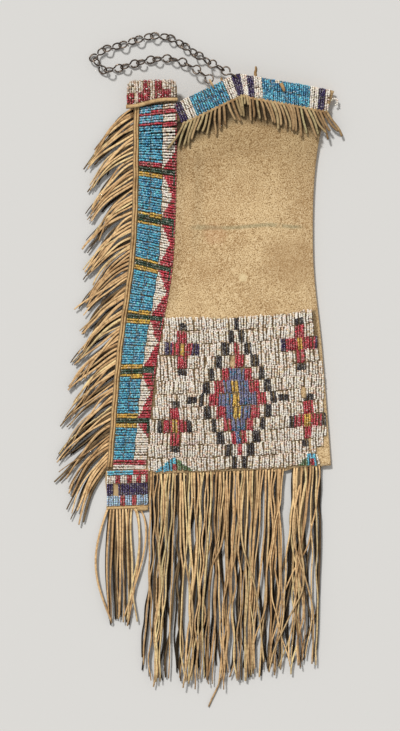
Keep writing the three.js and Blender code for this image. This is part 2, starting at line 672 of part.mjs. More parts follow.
function tailFringe() {
  const top = (x) => tailTop(x) - TAIL_LENGTH - FIT;
  const ends = [tailX(0) + TAIL_INSET, tailX(1) - TAIL_INSET];
  const header = layer([0, 1], spread(...ends, 2), (share, x, face) =>
    v3(x, top(x) - share * HEADER, TABLE_GAP + face * HEADER_THICK));
  const strands = Array.from({ length: TAIL_STRANDS }, (_, i) => {
    const share = (i + 0.5) / TAIL_STRANDS;
    const x = lerp(...ends, share);
    const lean = lerp(...TAIL_LEAN, share) + 0.8 * scatter(i, 7);
    const length = TAIL_FRINGE_LENGTH * (1 + 0.06 * scatter(i, 8));
    const start = v3(x, top(x) - HEADER / 2, 2 * TABLE_GAP);
    return strand(strandPath(start, [268 + lean, 272 + lean], length, 3, settle(i, start.z)));
  });
  return joined([header, ...strands]);
}

// The mouth fringe lies on the front wall in two layers, and hangs over the right edge at its end
function onFront(p, level) {
  const over = Math.max(0, p.x - rightX(p.y));
  const rest = frontZ(Math.min(p.x, rightX(p.y) - 1), p.y) + FIT + LAY;
  return Math.max(1, rest - 0.25 * over) + level;
}

function mouthFringe() {
  const edge = (x) => {
    const [px, py] = bandPlan(x, 1);
    return [px, py - FIT];
  };
  const stops = bandStops([BAND_ENDS[0] + 3, BAND_ENDS[1] - 1]);
  const header = layer([0, 1], stops, (share, x, face) => {
    const [px, py] = edge(x);
    const y = py - share * HEADER * 0.8;
    return v3(px, y, frontZ(px, y) + FIT + face * (STRAND_THICK + 0.4));
  });
  const strands = Array.from({ length: MOUTH_STRANDS }, (_, i) => {
    const share = (i + 0.5) / MOUTH_STRANDS;
    const [px, py] = edge(lerp(stops[0], stops.at(-1), share));
    const start = v3(px, py - HEADER * 0.4, 0);
    const splay = lerp(240, 278, smoothstep(share, 0, 0.45)) + 30 * smoothstep(share, 0.55, 1);
    const heading = splay + 5 * scatter(i, 9);
    const level = heading < 256 ? BEAD + 2 * FIT : (i % 2) * (STRAND_THICK + 0.3); // over the strip
    start.z = onFront(start, 0);
    const length = MOUTH_FRINGE_LENGTH * (1 + 0.16 * scatter(i, 10));
    const headings = [heading, heading + 8 * scatter(i, 11)];
    return strand(strandPath(start, headings, length, 2, (p) => onFront(p, level)));
  });
  return joined([header, ...strands]);
}

// Chain

function jackLink() {
  const bends = spread(LOOP_GAP, 360 - LOOP_GAP, 8).map(degToRad);
  const upright = bends.map((a) => v3(LOOP * Math.cos(a) - LOOP_SPREAD, 0, LOOP * Math.sin(a)));
  const level = bends.map((a) => v3(-LOOP * Math.cos(a), LOOP * Math.sin(a), 0));
  const wire = new THREE.CatmullRomCurve3([...upright, ...level], false, "centripetal");
  const round = new THREE.Shape(new THREE.EllipseCurve(0, 0, WIRE / 2, WIRE / 2).getPoints(5).slice(0, 5));
  return new THREE.ExtrudeGeometry(round, { steps: 16, bevelEnabled: false, extrudePath: wire });
}

const mouthStack = (x, y) => frontZ(x, y) + (FIT + BEAD - WALL) / 2; // middle of wall and band

// Frame of a link: its own X from its pin towards its flat loop, level across before it leans
function alongLink(from, to, lean = 0) {
  const x = to.clone().sub(from).normalize();
  const y = v3(-x.y, x.x, 0).normalize();
  const frame = new THREE.Matrix4().makeBasis(x, y, v3(0, 0, 0).crossVectors(x, y)).setPosition(to);
  return frame.multiply(new THREE.Matrix4().makeRotationX(degToRad(lean)));
}

// The point of a flat loop's wire on which the next loop hangs when it is drawn towards p
function pinOf(frame, p) {
  const local = p.clone().applyMatrix4(frame.clone().invert());
  return local.setZ(0).setLength(LOOP).applyMatrix4(frame);
}

const middleOf = (frame) => v3(0, 0, 0).setFromMatrixPosition(frame);

// Lean of a link: none where the chain leaves the hide, full where it lies on the table
function leanOf(link) {
  const inner = Math.min(link - 1, LINKS - link) / LEAN_START;
  return LOOP_LEAN * Math.min(inner, 1);
}

// Frames of the links along the route, each at its flat loop; the first is the hole in the hide
function chainFrames() {
  const [x0, y0] = CHAIN_ROUTE[0];
  const high = mouthStack(x0, y0);
  const guide = new THREE.CatmullRomCurve3(
    CHAIN_ROUTE.map(([x, y, drop]) => v3(x, y, lerp(high, CHAIN_FLOOR, drop))), false, "centripetal",
  ).getSpacedPoints(1500);
  const frames = [alongLink(guide[1], guide[0])];
  for (const p of guide) {
    if (frames.length <= LINKS && p.distanceTo(middleOf(frames.at(-1))) >= LINK_PITCH) {
      const pin = pinOf(frames.at(-1), p);
      const loop = p.clone().sub(pin).setLength(LINK_PITCH - LOOP).add(pin);
      frames.push(alongLink(pin, loop, leanOf(frames.length)));
    }
  }
  return frames;
}

const CHAIN_FRAMES = chainFrames();
const CHAIN_START = middleOf(CHAIN_FRAMES[0]);
const CHAIN_LAST = middleOf(CHAIN_FRAMES.at(-1));
const CHAIN_END = v3(
  CHAIN_LAST.x + TIE_REACH * TIE_PULL[0], CHAIN_LAST.y + TIE_REACH * TIE_PULL[1], CHAIN_START.z,
);
const TIE_PIN = pinOf(CHAIN_FRAMES.at(-1), CHAIN_END);

// Middle of the tie that holds the last link
function tieMiddle() {
  const reach = TIE_LOOP - (WIRE + TIE_THICK) / 2 - LOOP_PLAY;
  return CHAIN_END.clone().sub(TIE_PIN).setLength(reach).add(TIE_PIN);
}

function tie() {
  const ring = new THREE.TorusGeometry(TIE_LOOP, TIE_THICK / 2, 5, 12).rotateX(Math.PI / 2);
  ring.applyMatrix4(alongLink(TIE_PIN, tieMiddle()));
  return solidOf(ring);
}

// Holes through wall and band for the first link and for the tie
function pierced(solid) {
  const middle = tieMiddle();
  const onto = CHAIN_END.clone().sub(CHAIN_LAST).setZ(0).setLength(TIE_LOOP);
  const first = middleOf(CHAIN_FRAMES[1]).sub(CHAIN_START).setLength(LOOP - WIRE - LOOP_PLAY);
  const places = [first.add(CHAIN_START), middle.add(onto)];
  const holes = places.map((p) => {
    const drill = new THREE.CylinderGeometry(CHAIN_HOLE, CHAIN_HOLE, HOLE_LENGTH, 6).rotateX(Math.PI / 2);
    return solidOf(drill.translate(p.x, p.y, p.z));
  });
  return solid.subtract(joined(holes));
}

// Small trim

// Ends of thong that come out of the mouth under the front wall
function mouthThong([x, inside, outside, lean]) {
  const path = spread(-inside, outside, 3).map((out) => {
    const y = mouthY(x) + out;
    const wall = frontZ(x, Math.min(y, mouthY(x))) - WALL - FIT - THONG_THICK;
    return v3(x + lean * Math.max(0, out), y, wall - LAY - THONG_FALL * Math.max(0, out));
  });
  return ribbon(path, THONG_WIDTH, THONG_THICK);
}

function bandThong() {
  const path = BAND_THONG.map(([x, b]) => {
    const [px, py] = bandPlan(x, b);
    return v3(px, py, frontZ(px, py) + FIT + BEAD + 2 * LAY);
  });
  return ribbon(path, THONG_WIDTH, THONG_THICK);
}

function looseBeads() {
  const turns = spread(LOOSE_START, LOOSE_END, 5).map(degToRad);
  const y = MOUTH_END_Y - LOOSE_DROP;
  const start = v3(rightX(y) + FIT + BEAD / 2, y, MOUTH_EDGE_HEIGHT - BEAD);
  const round0 = v3(Math.cos(turns[0]), Math.sin(turns[0]), 0);
  const bend = turns.map((a) => {
    const arc = v3(Math.cos(a), Math.sin(a), 0).sub(round0).multiplyScalar(LOOSE_RADIUS);
    return start.clone().add(arc.setZ(-LOOSE_SLOPE * arc.x));
  });
  const round = new THREE.Shape(new THREE.EllipseCurve(0, 0, BEAD / 2, BEAD / 2).getPoints(6).slice(0, 6));
  const path = new THREE.CatmullRomCurve3(bend);
  return solidOf(new THREE.ExtrudeGeometry(round, { steps: 8, bevelEnabled: false, extrudePath: path }));
}

// Assembly

function finish(name, colour, geometry) {
  const [color, roughness] = COLOURS[colour];
  const metalness = colour === "iron" ? 0.9 : 0;
  const material = new THREE.MeshStandardMaterial({ color, roughness, metalness });
  const mesh = new THREE.Mesh(geometry, material);
  mesh.name = name;
  return mesh;
}

function chain() {
  const link = jackLink();
  return CHAIN_FRAMES.slice(1).map((frame, i) => {
    const mesh = finish(`chain_link_${String(i + 1).padStart(2, "0")}`, "iron", link.clone());
    mesh.applyMatrix4(frame);
    return mesh;
  });
}

function assembly() {
  const bag = new THREE.Group();
  bag.name = "tobacco_bag";
  const pieces = [
    ["pouch", "hide", pouch()],
    ...panelFields(),
    ...sideStrip(),
    ["side_welt", "hide", welt()],
    ["strip_flap", "white", flap()],
    ["flap_binding", "hide", flapBinding()],
    ["tail_tab", "purple", tailTab()],
    ...mouthBands(),
    ["side_fringe", "strand", sideFringe()],
    ["bottom_fringe", "strand", bottomFringe()],
    ["tail_fringe", "strand", tailFringe()],
    ["mouth_fringe", "strand", mouthFringe()],
    ...MOUTH_THONGS.map((thong, i) => [`thong_mouth_${i + 1}`, "hide", mouthThong(thong)]),
    ["thong_band", "hide", bandThong()],
    ["loose_beads", "white", looseBeads()],
    ["chain_tie", "hide", tie()],
  ];
  for (const [name, colour, solid] of pieces) bag.add(finish(name, colour, geometryOf(solid)));
  bag.add(...chain());
  return bag;
}

// The origin is the middle of the whole bag, on the table
const bag = assembly();
const box = new THREE.Box3().setFromObject(bag, true);
const middle = box.getCenter(v3(0, 0, 0));
bag.children.forEach((mesh) => mesh.position.sub(v3(middle.x, middle.y, box.min.z)));
export default bag;
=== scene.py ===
"""Looks of a beaded tobacco bag of tanned hide, lying flat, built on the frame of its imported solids.

Lengths are millimetres in the bag's own plan: the origin is the middle of the bottom seam, X runs to the
right, Y towards the mouth and Z up from the table. Layout turns them into metres in the shared frame.
"""
import json
import logging
import math
from dataclasses import dataclass, field
from enum import Enum
from typing import Callable, Sequence

import bpy
import numpy as np
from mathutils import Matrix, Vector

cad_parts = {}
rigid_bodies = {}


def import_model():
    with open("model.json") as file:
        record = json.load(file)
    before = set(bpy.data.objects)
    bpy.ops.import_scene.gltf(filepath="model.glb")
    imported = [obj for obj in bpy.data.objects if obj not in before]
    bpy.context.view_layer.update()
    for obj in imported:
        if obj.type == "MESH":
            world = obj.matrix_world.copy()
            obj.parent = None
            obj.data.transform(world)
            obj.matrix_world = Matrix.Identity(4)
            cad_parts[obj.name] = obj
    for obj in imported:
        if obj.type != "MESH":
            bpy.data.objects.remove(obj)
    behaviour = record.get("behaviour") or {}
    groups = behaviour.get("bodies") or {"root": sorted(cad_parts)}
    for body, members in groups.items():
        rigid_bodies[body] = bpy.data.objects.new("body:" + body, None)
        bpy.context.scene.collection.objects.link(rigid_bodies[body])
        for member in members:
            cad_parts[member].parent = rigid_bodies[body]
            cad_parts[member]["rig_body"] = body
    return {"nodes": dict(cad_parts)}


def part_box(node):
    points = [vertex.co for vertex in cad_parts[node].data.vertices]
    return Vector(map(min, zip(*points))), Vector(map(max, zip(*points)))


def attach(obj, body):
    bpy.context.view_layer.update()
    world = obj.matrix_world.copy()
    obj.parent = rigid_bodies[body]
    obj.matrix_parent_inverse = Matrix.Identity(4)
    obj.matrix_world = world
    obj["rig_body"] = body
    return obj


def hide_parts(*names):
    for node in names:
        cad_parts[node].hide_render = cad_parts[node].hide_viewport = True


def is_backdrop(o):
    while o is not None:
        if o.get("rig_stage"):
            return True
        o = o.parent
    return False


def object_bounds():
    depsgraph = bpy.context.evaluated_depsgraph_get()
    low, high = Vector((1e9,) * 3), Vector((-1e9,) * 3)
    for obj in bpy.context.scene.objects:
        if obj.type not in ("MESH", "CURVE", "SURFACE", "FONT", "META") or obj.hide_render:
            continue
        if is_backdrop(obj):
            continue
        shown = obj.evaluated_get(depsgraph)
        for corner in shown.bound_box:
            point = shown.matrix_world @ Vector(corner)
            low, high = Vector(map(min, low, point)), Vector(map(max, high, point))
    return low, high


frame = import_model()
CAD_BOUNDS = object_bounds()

LOG = logging.getLogger("tobacco_bag")
MM = 0.001
Array = np.ndarray
Rng = np.random.Generator
Thing = bpy.types.Object
Rgb = tuple[float, float, float]
HeightMap = Callable[[Array, Array], Array]

# Lengths that several pieces share
WALL = 1.6  # thickness of the hide
FIT = 0.35  # gap between pieces that touch
BEAD = 2.3  # size of a bead
VALLEY = 1.3  # height of the beads over the hide at a stitch
STRING = 2.45  # from one string of beads to the next
HALF_WIDTH = 111.0  # half the width of the pouch at its bottom
PEAK = 391.0  # Y of the mouth's highest point


def linear(red: float, green: float, blue: float) -> Rgb:
    """Scene-linear colour of an sRGB colour given in 0 to 255."""
    share = np.array([red, green, blue]) / 255.0
    return tuple(np.where(share <= 0.04045, share / 12.92, ((share + 0.055) / 1.055) ** 2.4).tolist())


def mix(low: Array | Sequence[float], high: Array | Sequence[float], share: Array) -> Array:
    """Straight line from low to high."""
    return np.asarray(low) + np.subtract(high, low) * share


def stacked(*axes: Array | float) -> Array:
    """Coordinates side by side along a new last axis."""
    return np.stack(np.broadcast_arrays(*axes), -1)


def ease(value: Array, start: float, stop: float) -> Array:
    """Smooth step from 0 at start to 1 at stop."""
    share = np.clip((value - start) / (stop - start), 0.0, 1.0)
    return share * share * (3.0 - 2.0 * share)


def sine(turns: Array) -> Array:
    """Sine of an angle in full turns."""
    return np.sin(2 * np.pi * turns)


def unit(vectors: Array) -> Array:
    """Vectors along the last axis, scaled to length 1."""
    return vectors / np.maximum(np.linalg.norm(vectors, axis=-1, keepdims=True), 1e-9)


class Tint(Enum):
    """Colours of the seed beads, as sRGB."""

    WHITE = (255, 233, 212)
    CREAM = (206, 178, 150)
    BLUE = (84, 166, 190)
    DEEP_BLUE = (48, 116, 150)
    PALE_BLUE = (150, 174, 194)
    RED = (172, 50, 62)
    YELLOW = (198, 156, 64)
    GREEN = (32, 64, 46)
    LEAF = (96, 122, 82)
    LAVENDER = (104, 106, 138)
    PURPLE = (50, 35, 78)
    BLACK = (38, 33, 38)

    @property
    def number(self) -> int:
        """Place of this tint in the palette."""
        return list(Tint).index(self)


PALETTE = np.array([linear(*tint.value) for tint in Tint])


def painted(ground: Array, *coats: tuple[Array, Tint | Array]) -> Array:
    """Beads of one ground, painted over in turn.

    Args:
        ground: tint numbers of the ground.
        coats: for each coat where it lies, and its tint or its tint numbers.

    Returns:
        Tint numbers.
    """
    for where, coat in coats:
        ground = np.where(where, coat.number if isinstance(coat, Tint) else coat, ground)
    return ground


def strewn(main: Tint, other: Tint, share: float, count: int, seed: int) -> Array:
    """Tint numbers of beads that are mostly of one tint, with a share of another strewn in."""
    rng = np.random.default_rng(seed)
    return np.where(rng.random(count) < share, other.number, main.number)


# Shared frame


@dataclass(frozen=True)
class Layout:
    """Where the bag's own plan lies in the shared frame.

    Attributes:
        shift: millimetres from the plan's origin to the frame's origin, as x, y, z.
    """

    shift: tuple[float, float, float]

    @classmethod
    def of_pouch(cls) -> "Layout":
        """The layout that fits the pouch's box, whose left side and top are known in plan."""
        low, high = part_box("pouch")
        return cls((low.x / MM + HALF_WIDTH, high.y / MM - PEAK, low.z / MM))

    def metres(self, points: Array) -> Array:
        """Plan points in millimetres as frame points in metres."""
        return (points + np.array(self.shift)) * MM


LAYOUT = Layout.of_pouch()


@dataclass(frozen=True)
class EdgeCurve:
    """A side edge of the pouch: a smooth curve through a few heights.

    Attributes:
        heights: Y of the points.
        values: X of the points.
    """

    heights: tuple[float, ...]
    values: tuple[float, ...]

    def __call__(self, y: Array) -> Array:
        """X of the edge at the heights y.

        Between two points the edge is a cubic whose slopes come from the neighbouring points; at both ends it
        runs out with no curvature.

        Args:
            y: heights.

        Returns:
            X at each height.
        """
        t, v = np.array(self.heights), np.array(self.values)
        last = len(t) - 2
        y = np.clip(y, t[0], t[-1])
        i = np.clip(np.searchsorted(t, y, side="right") - 1, 0, last)
        before, after = np.maximum(i - 1, 0), np.minimum(i + 2, last + 1)
        step = t[i + 1] - t[i]
        p = (y - t[i]) / step
        prev = np.where(i == 0, v[i + 1], v[before])
        following = np.where(i == last, v[i], v[after])
        wp = np.where(i == 0, -0.5, 0.5 * step / np.maximum(t[i] - t[before], 1e-9))
        wn = np.where(i == last, -0.5, 0.5 * step / np.maximum(t[after] - t[i + 1], 1e-9))
        p2, p3 = p * p, p * p * p
        return (
            prev * (-wp * p3 + 2 * wp * p2 - wp * p)
            + v[i] * ((1 + wp) * p3 + (-1.5 - 2 * wp) * p2 + (wp - 0.5) * p + 1)
            + v[i + 1] * ((-1 - wn) * p3 + (1.5 + wn) * p2 + 0.5 * p)
            + following * (wn * p3 - wn * p2)
        )


@dataclass(frozen=True)
class Outline:
    """The pouch in plan and in section, as the solids have it, with a little more life in the front.

    Attributes:
        left: its left side.
        right: its right side.
        mouth_x: X of the corners of the mouth line.
        mouth_y: Y of those corners.
        welt: width of the welt.
        slack: height of the waves in the hide.
        edge: height of the side edges, on the body and where the mouth gapes.
        body: height of the middle, likewise.
        fill: length above the seam over which the body fills out.
    """

    left: EdgeCurve = EdgeCurve((0, 116, 216, 361), (-HALF_WIDTH, -101, -88, -84))
    right: EdgeCurve = EdgeCurve((0, 116, 216, 331, 375), (HALF_WIDTH, 102, 93, 100, 114))
    mouth_x: tuple[float, ...] = (-44, 18, 114)
    mouth_y: tuple[float, ...] = (361, PEAK, 375)
    welt: float = 4.4
    slack: float = 0.45
    edge: tuple[float, float] = (5.0, 8.0)
    body: tuple[float, float] = (13.0, 17.0)
    fill: float = 60.0

    def bottom(self, x: Array) -> Array:
        """Y of the straight line along the bottom, which climbs a little to the right."""
        return 0.04 * x

    def seam(self, x: Array) -> Array:
        """Y of the bottom seam, which hangs a little lower under the panel than under the side strip."""
        return self.bottom(x) - 5.5 * ease(x, -78.0, -60.0) + 1.5 * ease(x, 60.0, 110.0)

    def mouth(self, x: Array) -> Array:
        """Y of the mouth line."""
        return np.interp(x, self.mouth_x, self.mouth_y)

    def strip_left(self, y: Array) -> Array:
        """Left side of the beaded strip."""
        return self.left(y) + self.welt + FIT

    def strip_right(self, y: Array) -> Array:
        """Right side of the beaded strip."""
        return self.strip_left(y) + mix(33.5, 38.0, ease(y, 0, 216))

    def outness(self, x: Array, y: Array) -> Array:
        """1 at the side edges and 0 along the middle line."""
        share = (x - self.left(y)) / (self.right(y) - self.left(y))
        return np.minimum(1.0, np.abs(2 * share - 1))

    def along(self, x: Array, y: Array) -> Array:
        """Share of the length from the bottom seam to the mouth line."""
        return (y - self.seam(x)) / (self.mouth(x) - self.seam(x))

    def front(self, x: Array, y: Array) -> Array:
        """Height of the front wall.

        It rises from the edge height to the body height by one minus the outness to the power 3.2, fills out
        above the seam and gapes at the mouth. Three slow waves, faded out at the edges, are the hide's slack.

        Args:
            x: plan X.
            y: plan Y.

        Returns:
            Height of the outer face.
        """
        out = self.outness(x, y)
        gape = np.clip((self.along(x, y) - 0.8) / 0.13, 0, 1)
        swell = mix(0.12, 1.0, np.clip((y - self.seam(x)) / self.fill, 0, 1))
        edge = mix(*self.edge, gape)
        waves = (
            np.sin(x / 23.0 + 0.7) * np.sin(y / 37.0 + 1.9)
            + 0.6 * np.sin(x / 13.0 - y / 29.0)
            + 0.4 * np.sin(x / 41.0 + y / 11.0)
        )
        slack = self.slack * waves * (1 - out**4) * swell
        return edge + (mix(*self.body, gape) - edge) * swell * (1 - out**3.2) + slack

    def back(self, x: Array, y: Array) -> Array:
        """Height of the back wall: flat on the table, turned up at the edges and lifted at the mouth."""
        lift = np.clip((self.along(x, y) - 0.88) / 0.05, 0, 1)
        return lift * (BEAD + FIT) + 1.5 * (np.maximum(0.0, self.outness(x, y) - 0.6) / 0.4) ** 3

    def plan(self, s: Array, t: Array, inset: float) -> tuple[Array, Array]:
        """Plan point at shares across and along the pouch.

        Args:
            s: share from the left edge to the right edge.
            t: share from the bottom seam to the mouth line.
            inset: distance by which the edges are drawn in.

        Returns:
            X and Y.
        """
        x = mix(-HALF_WIDTH, HALF_WIDTH, s)
        y = np.zeros_like(x)
        for _ in range(6):
            y = mix(self.seam(x), self.mouth(x), t)
            x = mix(self.left(y) + inset, self.right(y) - inset, s)
        return x, y


BAG = Outline()


# Meshes


def grid_faces(rows: int, columns: int, wrap: bool = False) -> Array:
    """Four-sided faces of a grid of points in row order.

    Args:
        rows: rows of points.
        columns: points in a row.
        wrap: whether each row closes on itself.

    Returns:
        Point numbers, four to a face.
    """
    i, j = np.meshgrid(np.arange(rows - 1), np.arange(columns if wrap else columns - 1), indexing="ij")
    a, b = i * columns + j, i * columns + (j + 1) % columns
    return stacked(a, b, b + columns, a + columns).reshape(-1, 4)


def ring_faces(rings: int, around: int) -> list[Array]:
    """Faces through a row of rings, closed at both ends by bands between the halves of a ring.

    Args:
        rings: number of rings.
        around: points of a ring, an even number.

    Returns:
        Point numbers, as one array.
    """
    half = np.arange(around // 2 - 1)
    cap = stacked(half, half + 1, around - 2 - half, around - 1 - half)
    return [np.concatenate([grid_faces(rings, around, wrap=True), cap[:, ::-1], cap + (rings - 1) * around])]


def unrolled(faces: Array, sides: int) -> tuple[Array, Array]:
    """Face corners of a tube's wall, slit along its first line of points and laid flat.

    Args:
        faces: faces of the wall.
        sides: points round the tube.

    Returns:
        Shares round the tube, and ring numbers.
    """
    column, row = faces % sides, faces // sides
    slit = (column == 0) & (column.max(1, keepdims=True) == sides - 1)
    return np.where(slit, sides, column) / sides, row


def repeated(faces: Array, copies: int, stride: int) -> Array:
    """The same faces for several copies of a block of points."""
    return (faces[None] + stride * np.arange(copies)[:, None, None]).reshape(-1, faces.shape[1])


def cell_map(faces: Array, place: Array, copies: int, upright: bool) -> Array:
    """A texture layout with a cell of its own for each copy of a block of faces.

    Args:
        faces: faces of one block, as point numbers; not used.
        place: place in the cell, from 0 to 1, of each corner of those faces.
        copies: number of blocks.
        upright: whether the cells are tall columns side by side instead of a square grid.

    Returns:
        A place for each face corner of all copies.
    """
    columns = copies if upright else math.ceil(math.sqrt(copies))
    rows = 1 if upright else math.ceil(copies / columns)
    number = np.arange(copies)
    cell = stacked(number % columns, number // columns)[:, None]
    inner = 0.06 + 0.88 * place.reshape(1, -1, 2)
    return ((cell + inner) / np.array([columns, rows])).reshape(-1, 2)


@dataclass
class Piece:
    """A finished piece of the bag: its surface and how it belongs to the part.

    Attributes:
        name: object name.
        points: points in plan millimetres.
        faces: faces as arrays of point numbers, one array for each count of corners.
        finish: its finish.
        slot: material slot of the record; not used.
        nodes: nodes of the part that it stands for.
        body: body that it moves with.
        tint: colour at each point, or nothing.
        cells: place of each face corner in the texture, or nothing.
    """

    name: str
    points: Array
    faces: Sequence[Array]
    finish: "Finish"
    slot: str
    nodes: Sequence[str] = ()
    body: str = "bag"
    tint: Array | None = None
    cells: Array | None = None

    @classmethod
    def of_rings(
        cls, name: str, rings: Array, finish: "Finish", nodes: Sequence[str] = (), tint: Array | None = None
    ) -> "Piece":
        """A closed piece of hide through a row of rings, each with the same even number of points."""
        return cls(name, rings.reshape(-1, 3), ring_faces(*rings.shape[:2]), finish, "hide", nodes, tint=tint)

    def build(self) -> Thing:
        """Makes the object and ties it to the frame.

        Returns:
            The object.
        """
        mesh = bpy.data.meshes.new(self.name)
        corners = np.concatenate([f.ravel() for f in self.faces]).astype(np.int32)
        counts = np.concatenate([np.full(len(f), f.shape[1]) for f in self.faces])
        mesh.vertices.add(len(self.points))
        mesh.vertices.foreach_set("co", LAYOUT.metres(self.points).astype(np.float32).ravel())
        mesh.loops.add(len(corners))
        mesh.loops.foreach_set("vertex_index", corners)
        mesh.polygons.add(len(counts))
        mesh.polygons.foreach_set("loop_start", (np.cumsum(counts) - counts).astype(np.int32))
        mesh.polygons.foreach_set("use_smooth", np.ones(len(counts), bool))
        if self.tint is not None:
            layer = mesh.color_attributes.new("tint", "FLOAT_COLOR", "POINT")
            rgba = np.concatenate([self.tint, np.ones((len(self.tint), 1))], 1)
            layer.data.foreach_set("color", rgba.astype(np.float32).ravel())
        if self.cells is not None:
            mesh.uv_layers.new(name="OFBake").data.foreach_set("uv", self.cells.astype(np.float32).ravel())
        mesh.update(calc_edges=True)
        mesh.materials.append(self.finish.material())
        thing = bpy.data.objects.new(self.name, mesh)
        bpy.context.scene.collection.objects.link(thing)
        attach(thing, self.body)
        if self.nodes:
            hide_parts(*self.nodes)
        LOG.info("%s: %d points, %d faces", self.name, len(self.points), len(counts))
        return thing


# Finishes


class Sock:
    """An output of a shader node, with arithmetic that adds Math nodes."""

    def __init__(self, graph: "Graph", socket: bpy.types.NodeSocket) -> None:
        """Wraps one output socket of a graph."""
        self.graph = graph
        self.socket = socket

    def _math(self, operation: str, first: "Sock | float", second: "Sock | float") -> "Sock":
        """A Math node on two values."""
        return self.graph.node("ShaderNodeMath", {"operation": operation}, {0: first, 1: second})

    def __add__(self, other: "Sock | float") -> "Sock":
        """Sum."""
        return self._math("ADD", self, other)

    __radd__ = __add__

    def __mul__(self, other: "Sock | float") -> "Sock":
        """Product."""
        return self._math("MULTIPLY", self, other)

    __rmul__ = __mul__

    def __sub__(self, other: "Sock | float") -> "Sock":
        """Difference."""
        return self._math("SUBTRACT", self, other)

    def __rsub__(self, other: float) -> "Sock":
        """Difference from a plain number."""
        return self._math("SUBTRACT", other, self)

    def __truediv__(self, other: "Sock | float") -> "Sock":
        """Quotient."""
        return self._math("DIVIDE", self, other)

    def __rtruediv__(self, other: float) -> "Sock":
        """Quotient of a plain number."""
        return self._math("DIVIDE", other, self)

    def __abs__(self) -> "Sock":
        """Distance from zero."""
        return self._math("ABSOLUTE", self, 0.0)

    def step(self, start: float, stop: float) -> "Sock":
        """Smooth step from 0 at start to 1 at stop."""
        span = {"Value": self, "From Min": start, "From Max": stop}
        return self.graph.node("ShaderNodeMapRange", {"interpolation_type": "SMOOTHSTEP"}, span)


class Graph:
    """The node graph of one material around a Principled BSDF."""

    def __init__(self, name: str) -> None:
        """Starts a material.

        Args:
            name: its name.
        """
        self.material = bpy.data.materials.new(name)
        self.material.use_nodes = True
        self.tree = self.material.node_tree
        self.surface = self.tree.nodes["Principled BSDF"]

    def _feed(self, node: bpy.types.Node, key: int | str, value: "Sock | float | Sequence[float]") -> None:
        """Links a value to an input, or sets the input to it.

        Args:
            node: the node.
            key: number, identifier or name of the input.
            value: an output or a constant.
        """
        known = [socket for socket in node.inputs if socket.identifier == key]
        socket = known[0] if known else node.inputs[key]
        if isinstance(value, Sock):
            self.tree.links.new(value.socket, socket)
        elif socket.type == "RGBA" and len(value) == 3:
            socket.default_value = (*value, 1.0)
        else:
            socket.default_value = value

    def node(self, kind: str, settings: dict, sockets: dict, out: int | str = 0) -> Sock:
        """Adds a node.

        Args:
            kind: node type.
            settings: properties, set before its sockets.
            sockets: values or links for its inputs.
            out: number or name of the output that is wanted.

        Returns:
            That output.
        """
        node = self.tree.nodes.new(kind)
        for key, value in settings.items():
            setattr(node, key, value)
        for key, value in sockets.items():
            self._feed(node, key, value)
        return Sock(self, node.outputs[out])

    def set(self, **values: "Sock | float | Sequence[float]") -> None:
        """Feeds the Principled BSDF; underscores stand for the spaces in the socket names."""
        for key, value in values.items():
            self._feed(self.surface, key.replace("_", " "), value)

    def place(self) -> Sock:
        """Object coordinates, in metres."""
        return self.node("ShaderNodeTexCoord", {}, {}, "Object")

    def axis(self, name: str) -> Sock:
        """One of the object coordinates X, Y or Z, in metres."""
        return self.node("ShaderNodeSeparateXYZ", {}, {0: self.place()}, name)

    def noise(self, cell: float, detail: float = 3.0, rough: float = 0.55) -> Sock:
        """Noise about 0.5 with cells of that many millimetres."""
        sockets = {"Vector": self.place(), "Scale": 1.0 / (cell * MM), "Detail": detail, "Roughness": rough}
        return self.node("ShaderNodeTexNoise", {}, sockets)

    def blend(self, share: "Sock | float", low: "Sock | Rgb", high: "Sock | Rgb") -> Sock:
        """Mixes two colours."""
        sockets = {"Factor_Float": share, "A_Color": low, "B_Color": high}
        return self.node("ShaderNodeMix", {"data_type": "RGBA"}, sockets, 2)

    def tint(self) -> Sock:
        """The colour painted on the mesh's points."""
        return self.node("ShaderNodeAttribute", {"attribute_name": "tint"}, {}, "Color")

    def shade(self, colour: Sock, factor: Sock) -> Sock:
        """A colour multiplied by another."""
        return self.node("ShaderNodeVectorMath", {"operation": "MULTIPLY"}, {0: colour, 1: factor})

    def bump(self, height: Sock, depth: float) -> Sock:
        """A bump of that many millimetres for a height from 0 to 1."""
        return self.node("ShaderNodeBump", {}, {"Height": height, "Distance": depth * MM})


class Finish:
    """A finish that makes its material once.

    Attributes:
        name: material name.
    """

    name: str

    def material(self) -> bpy.types.Material:
        """Makes the material on first use.

        Returns:
            The material.
        """
        if self.name not in bpy.data.materials:
            self.paint(Graph(self.name))
        return bpy.data.materials[self.name]

    def paint(self, g: Graph) -> None:
        """Feeds the material's graph."""
        raise NotImplementedError


